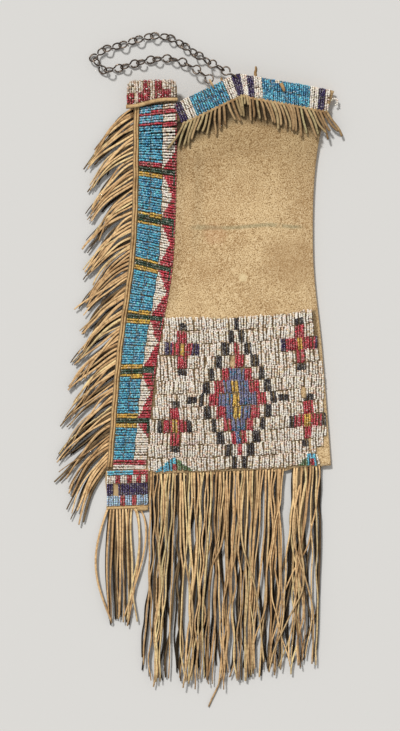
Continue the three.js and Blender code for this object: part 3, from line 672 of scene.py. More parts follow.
@dataclass(frozen=True)
class Hide(Finish):
    """Napped, smoke-tanned hide: patches, pores and flecks in tan; on the pouch also stains, a painted shadow
    and painted shade.

    Attributes:
        name: material name.
        dark: colour of the darker patches.
        light: colour of the lighter patches.
        fleck: colour of the pores.
        stained_and_shaded: whether the pouch's own painted shade, its stains and its painted shadow are on
            it.
    """

    name: str = "hide"
    dark: Rgb = linear(192, 156, 109)
    light: Rgb = linear(224, 192, 143)
    fleck: Rgb = linear(142, 108, 68)
    stained_and_shaded: bool = False

    def paint(self, g: Graph) -> None:
        """Feeds the material's graph.

        Args:
            g: the graph.
        """
        grain = g.noise(1.15, 3.0, 0.7)
        nap = g.noise(5.0, 3.0)
        patches = g.noise(46.0, 4.0, 0.6) * 0.7 + nap * 0.3
        colour = g.blend(patches.step(0.36, 0.64), self.dark, self.light)
        colour = g.blend(grain.step(0.53, 0.6) * 0.95, colour, self.fleck)
        colour = g.blend((1 - grain).step(0.52, 0.6) * 0.8, colour, linear(244, 218, 174))
        # stains and a painted shadow, then the pouch's painted shade from the colours on its points
        if self.stained_and_shaded:
            colour = g.shade(self._stains_and_painted_shadow(g, colour), g.tint())
        g.set(Base_Color=colour, Roughness=0.93, Sheen_Weight=0.12, Specular_IOR_Level=0.2)
        g.set(Normal=g.bump(grain * 0.7 + nap * 0.6, 0.55))

    @staticmethod
    def _stains_and_painted_shadow(g: Graph, colour: Sock) -> Sock:
        """A faint blue-green line across the front, a reddish smudge and a pale spot, which are stains, and a
        painted brown shadow.

        Args:
            g: graph of the material.
            colour: colour before the stains.

        Returns:
            Colour with the stains.
        """
        spots = (
            ((-4.0, 231.0), 14.0, (186, 126, 88), 0.26),
            ((24.0, 188.0), 5.0, (238, 214, 166), 0.75),
            # painted shadow: a broad, soft brown patch
            ((70.0, 205.0), 30.0, (176, 140, 96), 0.35),
        )
        x, y = g.axis("X"), g.axis("Y")
        left, level, _ = LAYOUT.metres(np.array([-32.0, 239.0, 0.0])).tolist()
        right = LAYOUT.metres(np.array([88.0, 239.0, 0.0])).tolist()[0]
        fade = 0.012
        front = g.axis("Z").step(0.004, 0.006)
        ragged = g.noise(9.0, 4.0).step(0.3, 0.52)
        offset = abs(y - level - (g.noise(60.0, 1.0) - 0.5) * 0.012)
        line = (1 - offset.step(0.0004, 0.0034)) * x.step(left, left + fade)
        line = line * (1 - x.step(right - fade, right)) * ragged * front
        colour = g.blend(line * 0.42, colour, linear(122, 132, 104))
        for at, radius, tone, share in spots:
            spot = LAYOUT.metres(np.array([*at, 0.0])).tolist()
            dx, dy = x - spot[0], y - spot[1]
            reach = (dx * dx + dy * dy) / (radius * MM) ** 2 + (g.noise(14.0, 3.0) - 0.5) * 1.4
            colour = g.blend((1 - reach.step(0.15, 1.1)) * share * front, colour, linear(*tone))
        return colour


@dataclass(frozen=True)
class Strand(Finish):
    """Cut hide of a fringe: the tone painted on each strand, worn and soiled in streaks.

    Attributes:
        name: material name.
        soil_and_shade: factor on the tone where it is soiled.
        nap: factor on the tone where it is napped.
    """

    name: str = "strand_hide"
    soil_and_shade: Rgb = (0.32, 0.23, 0.17)
    nap: Rgb = (1.25, 1.29, 1.42)

    def paint(self, g: Graph) -> None:
        """Feeds the material's graph.

        Args:
            g: the graph.
        """
        grain = g.noise(1.8, 4.0, 0.75)
        wear = g.noise(15.0, 4.0)
        tone = g.blend(wear.step(0.48, 0.7) * 0.5, (1.0, 1.0, 1.0), self.soil_and_shade)
        tone = g.blend(grain.step(0.5, 0.68) * 0.6, tone, self.soil_and_shade)
        tone = g.blend(g.noise(4.2, 3.0, 0.6).step(0.51, 0.64) * 0.4, tone, self.soil_and_shade)
        tone = g.blend((1 - grain).step(0.54, 0.74) * 0.4, tone, self.nap)
        g.set(Base_Color=g.shade(tone, g.tint()), Roughness=0.92, Sheen_Weight=0.04, Specular_IOR_Level=0.2)
        g.set(Normal=g.bump(grain, 0.4))


@dataclass(frozen=True)
class Glass(Finish):
    """Old seed beads: the tint painted on each bead, with dust on some of them.

    Attributes:
        name: material name.
        dust: colour of the dust.
    """

    name: str = "bead_glass"
    dust: Rgb = linear(150, 128, 100)

    def paint(self, g: Graph) -> None:
        """Feeds the material's graph.

        Args:
            g: the graph.
        """
        dusty = g.noise(7.0, 3.0).step(0.5, 0.78)
        g.set(Base_Color=g.blend(dusty * 0.16, g.tint(), self.dust), Roughness=0.2 + dusty * 0.3)
        g.set(Specular_IOR_Level=0.8)


@dataclass(frozen=True)
class Iron(Finish):
    """Darkened steel wire with a little rust.

    Attributes:
        name: material name.
        bare: colour of the worn metal.
        dull: colour of the dark film on it.
        rust: colour of the rust.
    """

    name: str = "chain_iron"
    bare: Rgb = linear(132, 117, 104)
    dull: Rgb = linear(58, 50, 44)
    rust: Rgb = linear(96, 68, 48)

    def paint(self, g: Graph) -> None:
        """Feeds the material's graph.

        Args:
            g: the graph.
        """
        film = g.noise(3.0, 4.0).step(0.4, 0.62)
        rusty = g.noise(6.0, 5.0, 0.65).step(0.56, 0.7)
        colour = g.blend(film, self.bare, self.dull)
        colour = g.blend(rusty * 0.7, colour, self.rust)
        g.set(Base_Color=colour, Metallic=0.85 - rusty * 0.6, Roughness=0.34 + film * 0.2 + rusty * 0.2)
        g.set(Normal=g.bump(g.noise(0.8, 3.0), 0.12))


@dataclass(frozen=True)
class Plain(Finish):
    """A plain matt surface.

    Attributes:
        name: material name.
        colour: its colour.
    """

    name: str = "floor"
    colour: Rgb = linear(222, 220, 216)

    def paint(self, g: Graph) -> None:
        """Feeds the material's graph."""
        g.set(Base_Color=self.colour, Roughness=0.9, Specular_IOR_Level=0.2)


HIDE = Hide()
# dark hide for the flap's leaf: painted shade between and round its beads
SHADED_HIDE = Hide("shaded_hide", linear(104, 78, 52), linear(148, 114, 76), linear(84, 62, 42))
FRONT_HIDE = Hide("pouch_hide", stained_and_shaded=True)
STRAND = Strand()
GLASS = Glass()
IRON = Iron()


# Beadwork


@dataclass
class Beads:
    """Seed beads, each a short barrel with its hole along the string.

    Attributes:
        centre: middles.
        along: directions of the holes.
        across: directions across the string, level with the hide.
        length: lengths along the hole.
        tint: numbers of their tints in the palette.
        shade: factor on their tints, which holds the painted shade towards the stitches.
    """

    centre: Array
    along: Array
    across: Array
    length: Array
    tint: Array
    shade: Array

    # Points round a bead, and its rings as places along the hole and shares of the radius
    SIDES = 6
    RINGS = ((-0.5, 0.55), (0.0, 1.0), (0.5, 0.55))

    @classmethod
    def on_strings(
        cls, start: Array, end: Array, count: int, height: HeightMap, arch: bool = True
    ) -> "Beads":
        """Beads on straight strings laid over a surface.

        Along a string the beads rise from the valley height at its stitched ends to a full bead in the
        middle, by half a sine wave, and painted shade darkens them towards the stitches.

        Args:
            start: plan points where the strings start, one row each.
            end: plan points where they end.
            count: beads on a string.
            height: height of the surface that they are sewn to.
            arch: whether the strings are arched.

        Returns:
            The beads in string order, all of the first tint.
        """
        share = (np.arange(count) + 0.5) / count
        plan = mix(start[:, None], end[:, None], share[None, :, None])
        x, y = plan[..., 0], plan[..., 1]
        rise = mix(VALLEY, BEAD, np.sin(np.pi * share)) if arch else np.full(count, BEAD)
        centre = stacked(x, y, height(x, y) + FIT + rise - BEAD / 2)
        along = unit(np.gradient(centre, axis=1))
        px, py = -along[..., 1], along[..., 0]
        slope = (height(x + px, y + py) - height(x - px, y - py)) / 2
        across = unit(stacked(px, py, slope))
        pitch = np.linalg.norm(end - start, axis=1) / count
        length = np.broadcast_to(pitch[:, None], x.shape)
        flat = [a.reshape(-1, 3) for a in (centre, along, across)]
        # painted shade: the beads of an arched string darker towards its stitched ends
        stitch_shade = mix(0.66, 1.08, np.sqrt(np.sin(np.pi * share))) if arch else np.ones(count)
        return cls(*flat, length.ravel().copy(), np.zeros(x.size, int), np.tile(stitch_shade, len(start)))

    def _columns(self) -> tuple[Array, ...]:
        """All the arrays, in the order of the attributes."""
        return self.centre, self.along, self.across, self.length, self.tint, self.shade

    @classmethod
    def joined(cls, sets: Sequence["Beads"]) -> "Beads":
        """Several sets as one."""
        return cls(*map(np.concatenate, zip(*(beads._columns() for beads in sets))))

    def kept(self, mask: Array) -> "Beads":
        """Only the beads where the mask holds."""
        return Beads(*(column[mask] for column in self._columns()))

    def build(self, name: str, nodes: Sequence[str], slot: str, seed: int) -> Thing:
        """One piece with all the beads, none quite like the next.

        Each bead is three rings round its hole: a point is the middle, plus a share of the length along the
        hole, plus the ring's radius times the cosine across and the sine upwards.

        Args:
            name: object name.
            nodes: nodes of the part that the beads stand for.
            slot: material slot.
            seed: seed of the scatter.

        Returns:
            The object.
        """
        rng = np.random.default_rng(seed)
        count = len(self.centre)
        up = unit(np.cross(self.along, self.across))
        up = np.where(up[:, 2:] < 0, -up, up)
        lean = rng.normal(0, 0.05, (count, 1))
        along = unit(self.along + lean * self.across + rng.normal(0, 0.05, (count, 1)) * up)
        across = unit(self.across - lean * self.along)
        centre = self.centre + rng.normal(0, 0.17, (count, 1)) * self.across
        centre = centre + rng.normal(0, 0.12, (count, 1)) * up
        radius = (BEAD / 2) * np.clip(rng.normal(1.13, 0.08, count), 0.88, 1.24)
        length = self.length * np.clip(rng.normal(0.96, 0.06, count), 0.8, 1.04)
        angle = 2 * np.pi * (np.arange(self.SIDES) + 0.5) / self.SIDES
        place, size = np.array(self.RINGS).T
        ring = np.cos(angle)[:, None] * across[:, None] + np.sin(angle)[:, None] * up[:, None]
        points = (
            centre[:, None, None]
            + (length[:, None] * place)[:, :, None, None] * along[:, None, None]
            + (radius[:, None] * size)[:, :, None, None] * ring[:, None]
        )
        block = len(self.RINGS) * self.SIDES
        faces = grid_faces(len(self.RINGS), self.SIDES, wrap=True)
        column, row = unrolled(faces, self.SIDES)
        cell = stacked(column, row / (len(self.RINGS) - 1))
        tone = PALETTE[self.tint] * self.shade[:, None]
        tone = tone * np.exp(rng.normal(0, 0.2, (count, 1))) * np.exp(rng.normal(0, 0.04, (count, 3)))
        tone = 1.22 * tone * np.where(rng.random((count, 1)) < 0.06, 0.5, 1.0)
        worn = np.clip(rng.normal(-0.02, 0.16, (count, 1)), 0, 0.5)
        tone = mix(tone, linear(226, 216, 200), worn)
        # painted shade: each bead darker on its underside and lower sides, as light falls from above
        soil_and_shade = 0.4 + 0.6 * np.clip((np.sin(angle) + 0.8) / 1.1, 0, 1)
        tint = np.clip(tone[:, None, None] * soil_and_shade[None, None, :, None], 0, (0.97, 0.9, 0.79))
        tint = np.broadcast_to(tint, points.shape)
        return Piece(
            name, points.reshape(-1, 3), [repeated(faces, count, block)], GLASS, slot, nodes,
            tint=tint.reshape(-1, 3), cells=cell_map(faces, cell, count, upright=False),
        ).build()


@dataclass(frozen=True)
class Panel:
    """The bead panel on the lower front: twelve lanes of upright strings with a diamond, crosses and corners.

    Attributes:
        lanes: number of lanes.
        rise: height of the panel.
        sag: sag of its top edge in the middle.
        base: lowest lane above the bottom seam.
        middle: X of the diamond's middle line.
        tilt: lean of that line to the left, per mm upwards.
        widest: the diamond's widest lane, from the bottom.
        crosses: for each cross its X, its lane, half the width of its red and half its width.
        beads: beads on a string.
    """

    lanes: int = 12
    rise: float = 150.0
    sag: float = 4.0
    base: float = 2.0
    middle: float = 18.5
    tilt: float = 0.025
    widest: int = 5
    crosses: tuple[tuple[float, int, float, float], ...] = (
        (-36.0, 9, 10.5, 17.0), (81.3, 9, 14.5, 20.0), (-44.0, 3, 11.5, 17.0), (89.4, 3, 13.5, 17.5),
    )
    beads: int = 8

    def edge(self, x: Array, lane: Array) -> Array:
        """Y of a lane's lower edge; the lanes share the height, and the top edge sags in the middle."""
        bow = self.sag * np.clip(1 - ((x - 15.0) / 75.0) ** 2, 0, 1)
        return mix(BAG.seam(x), BAG.bottom(x) + self.rise - bow, lane / self.lanes) + self.base

    def build(self) -> Thing:
        """Strings and beads the panel.

        Returns:
            The object.
        """
        rng = np.random.default_rng(11)
        number, lane = np.meshgrid(np.arange(-42, 40), np.arange(self.lanes), indexing="ij")
        number, lane = number.ravel(), lane.ravel()
        x = self.middle + (number + 0.5) * STRING
        x = x + self.tilt * (self.rise / 2 - self.edge(x, lane + 0.5))
        middle = self.edge(x, lane + 0.5)
        margin = np.where(lane > 8, 3.4, 0.7)
        inside = (x > BAG.strip_right(middle) + 1.4) & (x < BAG.right(middle) - margin)
        number, lane, x, middle = (a[inside] for a in (number, lane, x, middle))
        drift = 0.6 * np.sin(middle / 19.0 + x / 31.0) + rng.normal(0, 0.34, x.size)
        ends = rng.normal(0, 0.4, (2, x.size)) + 0.65 * np.sin(x / 9.0 + lane * 2.1)
        lean = rng.normal(-0.3, 0.5, x.size) + 0.8 * np.sin(x / 23.0 + lane * 1.7)
        start = stacked(x + drift, self.edge(x, lane) + ends[0])
        end = stacked(x + drift + lean, self.edge(x, lane + 1) + ends[1])
        beads = Beads.on_strings(start, end, self.beads, BAG.front)
        bead = np.tile(np.arange(self.beads), x.size)
        beads.tint = self.pattern(*(np.repeat(a, self.beads) for a in (number, lane, x)), bead)
        beads = beads.kept(self.whole(beads.centre[:, 0], beads.centre[:, 1]))
        crosses = [f"panel_cross_{i}" for i in range(1, 5)]
        nodes = ["bead_panel", "panel_red", "panel_core", "panel_heart", *crosses]
        return beads.build("bead_panel_strings", nodes, "white_beads", 12)

    def pattern(self, number: Array, lane: Array, x: Array, bead: Array) -> Array:
        """Tint of each bead.

        The diamond narrows by about three strings with each lane away from its widest one, and thin bars
        stand out at its sides. A cross is three lanes of red with dark tips.

        Args:
            number: string number from the diamond's middle line.
            lane: lane from the bottom.
            x: plan X.
            bead: bead from the lower end of its string.

        Returns:
            Tint numbers.
        """
        out = np.abs(number + 0.5)
        away = np.abs(lane - self.widest)
        border = out - (14.0 - 2.65 * away)
        black = (border >= 0) & (border < 2.5) & (away < 6) | (away == 6) & (out < 1)
        bars = (away == 0) & (out > 17) & (out < 20.6) & (np.abs(bead - 3.5) < 1.6)
        tint = painted(
            strewn(Tint.WHITE, Tint.CREAM, 0.22, x.size, 13),
            (black | bars, Tint.BLACK),
            ((out < 11.6 - 2.8 * away) & (away < 4) | (away == 4) & (out < 1.1), Tint.RED),
            ((out < 8 - 2.7 * away) | (lane == 2) & (out < 0.6),
             strewn(Tint.LAVENDER, Tint.DEEP_BLUE, 0.09, x.size, 14)),
            ((number > -3) & (number < 1) & (away <= 1), Tint.YELLOW),
        )
        for place, level, red, tip in self.crosses:
            side, step = np.abs(x - place), lane - level
            arm, bar = side < 4.6, step == 0
            short = (step == 2) & (bead < 4) | (step == -2) & (bead > 3)
            tint = painted(
                tint,
                (bar & (side < tip), Tint.PURPLE if level > self.widest else Tint.BLACK),
                (bar & (side < red) | (np.abs(step) == 1) & arm, Tint.RED),
                (short & arm, Tint.BLACK),
                (bar & (side < 3.2), Tint.YELLOW),
            )
        return self.corners(tint, lane, x, bead)

    def corners(self, tint: Array, lane: Array, x: Array, bead: Array) -> Array:
        """Paints the corners of the lowest lane: a triangle on the left, what is left of one on the right.

        Args:
            tint: tint numbers so far.
            lane: lane from the bottom.
            x: plan X.
            bead: bead from the lower end of its string.

        Returns:
            Tint numbers.
        """
        side, low = x + 43.2, lane == 0
        left = low & (np.abs(side) < np.where(side < 0, 19.8, 16.8) * (1 - bead / self.beads))
        return painted(
            tint,
            (left, Tint.LEAF),
            (left & (side < 1.5), Tint.BLUE),
            (left & (np.abs(side + 0.5) < 2.6) & (bead < 4), Tint.RED),
            (low & (x > 80) & (x < 90) & (bead < 0.6 * (x - 80)), Tint.LEAF),
            (low & (x > 90) & (x < 99.5) & (bead < 7), Tint.BLUE),
            (low & (np.abs(x - 93.2) < 2.6) & (bead < 4), Tint.RED),
        )

    @staticmethod
    def whole(x: Array, y: Array) -> Array:
        """Tells where no beads are lost.

        Lost are the lower right corner, a string beside it and two bare spots.

        Args:
            x: plan X.
            y: plan Y.

        Returns:
            Whether beads are there.
        """
        ragged = 1.2 * np.sin(y / 3.1) + 0.8 * np.sin(y / 1.7 + x)
        lost = (x > np.where(y > 20, 103.5, 99.0) + ragged) & (y < 31 + ragged)
        spots = ((91.0, 22.0, 1.3, 7.0), (83.8, 74.0, 2.7, 6.0), (13.9, 104.0, 2.4, 6.0))
        for at_x, at_y, half_x, half_y in spots:
            lost = lost | (np.abs(x - at_x) < half_x) & (np.abs(y - at_y) < half_y)
        return ~lost


@dataclass(frozen=True)
class Strip:
    """The beaded strip up the left side: level strings in two blue lanes and a white one, crossed by bars.

    Attributes:
        lanes: for each lane the shares of the width where it starts and ends, and the beads on a string.
        bars: Y of the bars' middles.
        half_bar: half the height of a bar.
        low: lowest row.
        high: highest row.
        fall_y: heights at which the fall of the strings is given.
        fall: fall of the strings to the right, as a share of the width.
    """

    lanes: tuple[tuple[float, float, int], ...] = ((0.0, 0.31, 8), (0.31, 0.62, 8), (0.62, 1.0, 9))
    bars: tuple[float, ...] = (297.2, 249.5, 204.0, 150.0, 95.0, 45.0)
    half_bar: float = 6.8
    low: float = -2.6
    high: float = 359.5
    fall_y: tuple[float, ...] = (0, 95, 150, 204, 250, 298, 345, 360)
    fall: tuple[float, ...] = (0, -0.02, 0.1, 0.25, 0.2, 0.14, -0.08, -0.1)

    def build(self) -> Thing:
        """Strings and beads the strip.

        Returns:
            The object.
        """
        rng = np.random.default_rng(21)
        y = np.arange(self.low, self.high, STRING)
        sets = []
        for lane, (low, high, count) in enumerate(self.lanes):
            row = y + rng.normal(0, 0.24, y.size)
            left, right = BAG.strip_left(row), BAG.strip_right(row)
            sag = -np.interp(row, self.fall_y, self.fall) * (right - left)
            from_x = mix(left, right, low) + 0.3 + 0.5 * np.sin(row / 2.9 + lane) * (lane > 0)
            to_x = mix(left, right, high) - 0.3 + 0.5 * np.sin(row / 2.9 + lane + 1) * (lane < 2)
            start = stacked(from_x, row + sag * low + rng.normal(0, 0.12, y.size))
            end = stacked(to_x, row + sag * high + rng.normal(0, 0.12, y.size))
            beads = Beads.on_strings(start, end, count, BAG.front)
            place = np.tile((np.arange(count) + 0.5) / count, y.size)
            beads.tint = self.pattern(np.repeat(row, count), lane, place)
            sets.append(beads)
        nodes = ["strip_blue", "strip_white", *(f"strip_bar_{i}" for i in range(1, 7))]
        return Beads.joined(sets).build("side_strip_strings", nodes, "blue_beads", 22)

    def pattern(self, y: Array, lane: int, share: Array) -> Array:
        """Tint of each bead.

        A bar is yellow, green and yellow, and its green runs on across the white lane, where red wedges widen
        towards it from the right edge. The uppermost bar is red above its green. Red rows close both ends.

        Args:
            y: height of the string.
            lane: 0 and 1 for blue, 2 for white.
            share: place along the string from the left.

        Returns:
            Tint numbers.
        """
        blue = lane < 2
        ground = (Tint.BLUE, Tint.DEEP_BLUE, 0.24) if blue else (Tint.WHITE, Tint.CREAM, 0.15)
        pale = strewn(Tint.PALE_BLUE, Tint.BLUE, 0.45, y.size, 26)
        tint = painted(strewn(*ground, y.size, 23 + lane), ((y > 342) & blue, pale))
        edge = np.where(y > self.bars[-1], 0.1, 0.0)
        for i, bar in enumerate(self.bars):
            away = y - bar
            level = np.abs(away)
            if blue:
                coats = (
                    (level < self.half_bar, Tint.YELLOW),
                    ((level < self.half_bar) & (away > 0) & (i == 0), Tint.RED),
                    (level < 2.6, Tint.GREEN),
                )
            else:
                above = 18.0 if i == 0 else 32.0
                below = 15.0 if i == len(self.bars) - 1 else 26.0
                wedge = 1 - (level - 2.5) / np.where(away > 0, above, below)
                coats = (
                    (1 - share < np.maximum(wedge, edge), Tint.RED),
                    ((1 - share < 0.2) & (away < 0) & (away > -12), Tint.GREEN),
                    (level < 3.0, Tint.GREEN),
                )
            tint = painted(tint, *coats)
        red = (np.abs(y - 350.5) < 2.3) | (np.abs(y - 340.2) < 2.0) | (np.abs(y - 4.2) < 2.7)
        return painted(tint, (red, Tint.RED), (y < 1.4, Tint.WHITE))


@dataclass(frozen=True)
class MouthBand:
    """The two-lane bands round the mouth, front and back, with stripes along their length.

    Attributes:
        width: height of a band.
        inset: hide above it, less than nothing where it stands over the edge.
        ends: X of its ends.
        stripes: right ends of the stripes, each with its tint.
        beads: beads on a string.
    """

    width: float = 22.5
    inset: float = -0.8
    ends: tuple[float, float] = (-45.5, 112.0)
    stripes: tuple[tuple[float, Tint], ...] = (
        (-38, Tint.PURPLE), (-31, Tint.WHITE), (4, Tint.BLUE), (12, Tint.WHITE), (20, Tint.PURPLE),
        (28, Tint.WHITE), (34, Tint.PURPLE), (42, Tint.WHITE), (92, Tint.BLUE), (100, Tint.WHITE),
        (107, Tint.PURPLE), (120, Tint.WHITE),
    )
    beads: int = 7

    def plan(self, x: Array, b: float | Array) -> Array:
        """Plan points of the band, whose strings lean more towards its left end.

        Args:
            x: X along the mouth line.
            b: share down from its top edge.

        Returns:
            Points.
        """
        lean = np.interp(x, (8, 28, 60, 114), (0.42, 0.1, 0.0, -0.1))
        down = b * np.interp(x, (4, 26), (self.width - 2.5, self.width))
        return stacked(x + lean * down, BAG.mouth(x) - self.inset - down)

    def strings(self, height: HeightMap, seed: int) -> Beads:
        """Beads of one band on a surface.

        Args:
            height: height of that surface.
            seed: seed of the scatter.

        Returns:
            The beads.
        """
        rng = np.random.default_rng(seed)
        x = np.arange(self.ends[0] + 1.2, self.ends[1], STRING * 0.9)
        stops = [stop for stop, _ in self.stripes]
        tints = np.array([tint.number for _, tint in self.stripes])
        count, sets = self.beads, []
        for lane in (0, 1):
            place = x + rng.normal(0, 0.14, x.size)
            lift = stacked(0.0, rng.normal(0, 0.2, x.size))
            top, foot = (self.plan(place, lane / 2 + b) + lift for b in (0.01, 0.49))
            beads = Beads.on_strings(top, foot, count, height)
            stripe = np.repeat(tints[np.searchsorted(stops, x)], count)
            blues = strewn(Tint.BLUE, Tint.DEEP_BLUE, 0.4, stripe.size, seed + lane)
            patch = (np.abs(np.repeat(x, count) - 58.5) < 2.8) & (np.tile(np.arange(count), x.size) < 2)
            coats = ((stripe == Tint.BLUE.number, blues), (patch & (lane == 0), Tint.WHITE))
            beads.tint = painted(stripe, *coats)
            sets.append(beads)
        return Beads.joined(sets)

    def build(self) -> list[Thing]:
        """Beads both bands.

        Returns:
            The objects.
        """
        front = self.strings(BAG.front, 31)
        x, y = front.centre[:, 0], front.centre[:, 1]
        front = front.kept(~((x > 109.0 + np.sin(y)) & (y > 362) & (y < 369)))
        whites = [f"band_white_{i}" for i in ("1", "2a", "2b", "3a", "3b")]
        nodes = ["mouth_band", "band_purple_1", "band_purple_2", *whites]
        back = self.strings(lambda x, y: np.full_like(x, -FIT), 33)
        back.centre[:, 2] = BEAD + 0.3 - back.centre[:, 2]
        back.along[:, 2] *= -1
        return [
            front.build("mouth_band_strings", nodes, "blue_beads", 34),
            back.build("back_band_strings", ["mouth_band_back"], "blue_beads", 35),
        ]


@dataclass(frozen=True)
class Tail:
    """The tab below the strip: a leaf of hide with two rows and three lanes of beads.

    Attributes:
        left: X of its left side.
        width: its width.
        length: its length.
        drop: length over which it comes down to the table.
    """

    left: float = -113.0
    width: float = 43.0
    length: float = 37.5
    drop: float = 20.0

    def top(self, x: Array) -> Array:
        """Y of its upper edge, at the bottom seam."""
        return BAG.bottom(x) - FIT

    def height(self, x: Array, y: Array) -> Array:
        """Height of the leaf's upper face."""
        fall = ease(self.top(x) - y, 0, self.drop)
        return mix(BAG.front(x, BAG.seam(x)), 0.0, fall) + WALL

    def build(self) -> list[Thing]:
        """Cuts the leaf and beads it.

        Returns:
            The objects.
        """
        share, down = np.meshgrid(np.linspace(0, 1, 30), np.linspace(0, self.length, 32), indexing="ij")
        x = self.left + share * self.width + 0.8 * np.sin(down / 6.0) * (2 * share - 1)
        y = self.top(x) - down
        upper = stacked(x, y, self.height(x, y))
        lower = upper - np.array([0, 0, WALL])
        leaf = Piece.of_rings("tail_leaf", np.concatenate([upper, lower[:, ::-1]], 1), HIDE)
        return [leaf.build(), self.beads().build("tail_strings", ["tail_tab"], "purple_beads", 42)]

    def beads(self) -> Beads:
        """Beads of the tail, from the top: two level rows, then a white, a purple and a pale blue lane.

        The purple lane has lost a patch.

        Returns:
            The beads.
        """
        rng = np.random.default_rng(41)
        rows = np.array([1.2, 3.7])
        side = np.array([self.left + 1.0, self.left + self.width - 1.0])
        start, end = (stacked(x, self.top(x) - rows) for x in side)
        level = Beads.on_strings(start, end, 28, self.height, arch=False)
        level.tint = np.where(level.centre[:, 0] > self.left + 27, Tint.RED.number, Tint.BLUE.number)
        sets = [level]
        x = np.arange(side[0] + 0.6, side[1], STRING * 0.94)
        place = (x - self.left) / self.width

        def near(middle: float, half: float) -> Array:
            """Whether a string is near a place across the tail."""
            return np.abs(place - middle) < half

        reds = near(0.3, 0.05) | near(0.55, 0.04) | near(0.75, 0.05) | (place > 0.9)
        blocks = near(0.38, 0.05) | near(0.64, 0.05)
        white, red, pale = Tint.WHITE.number, Tint.RED.number, Tint.PALE_BLUE.number
        purple = np.full(x.size, Tint.PURPLE.number)
        lanes = (
            (5.2, 13.2, 5, np.where(reds, red, white)),
            (13.4, 25.4, 8, purple),
            (25.6, 35.6, 6, np.where(blocks, red, pale)),
        )
        for high, low, count, tint in lanes:
            at = x + rng.normal(0, 0.15, x.size)
            start = stacked(at, self.top(at) - low + rng.normal(0, 0.2, x.size))
            end = stacked(at, self.top(at) - high + rng.normal(0, 0.2, x.size))
            beads = Beads.on_strings(start, end, count, self.height)
            beads.tint = np.repeat(tint, count)
            gap = np.repeat(near(0.22, 0.05) & (tint == purple), count)
            sets.append(beads.kept(~gap))
        return Beads.joined(sets)


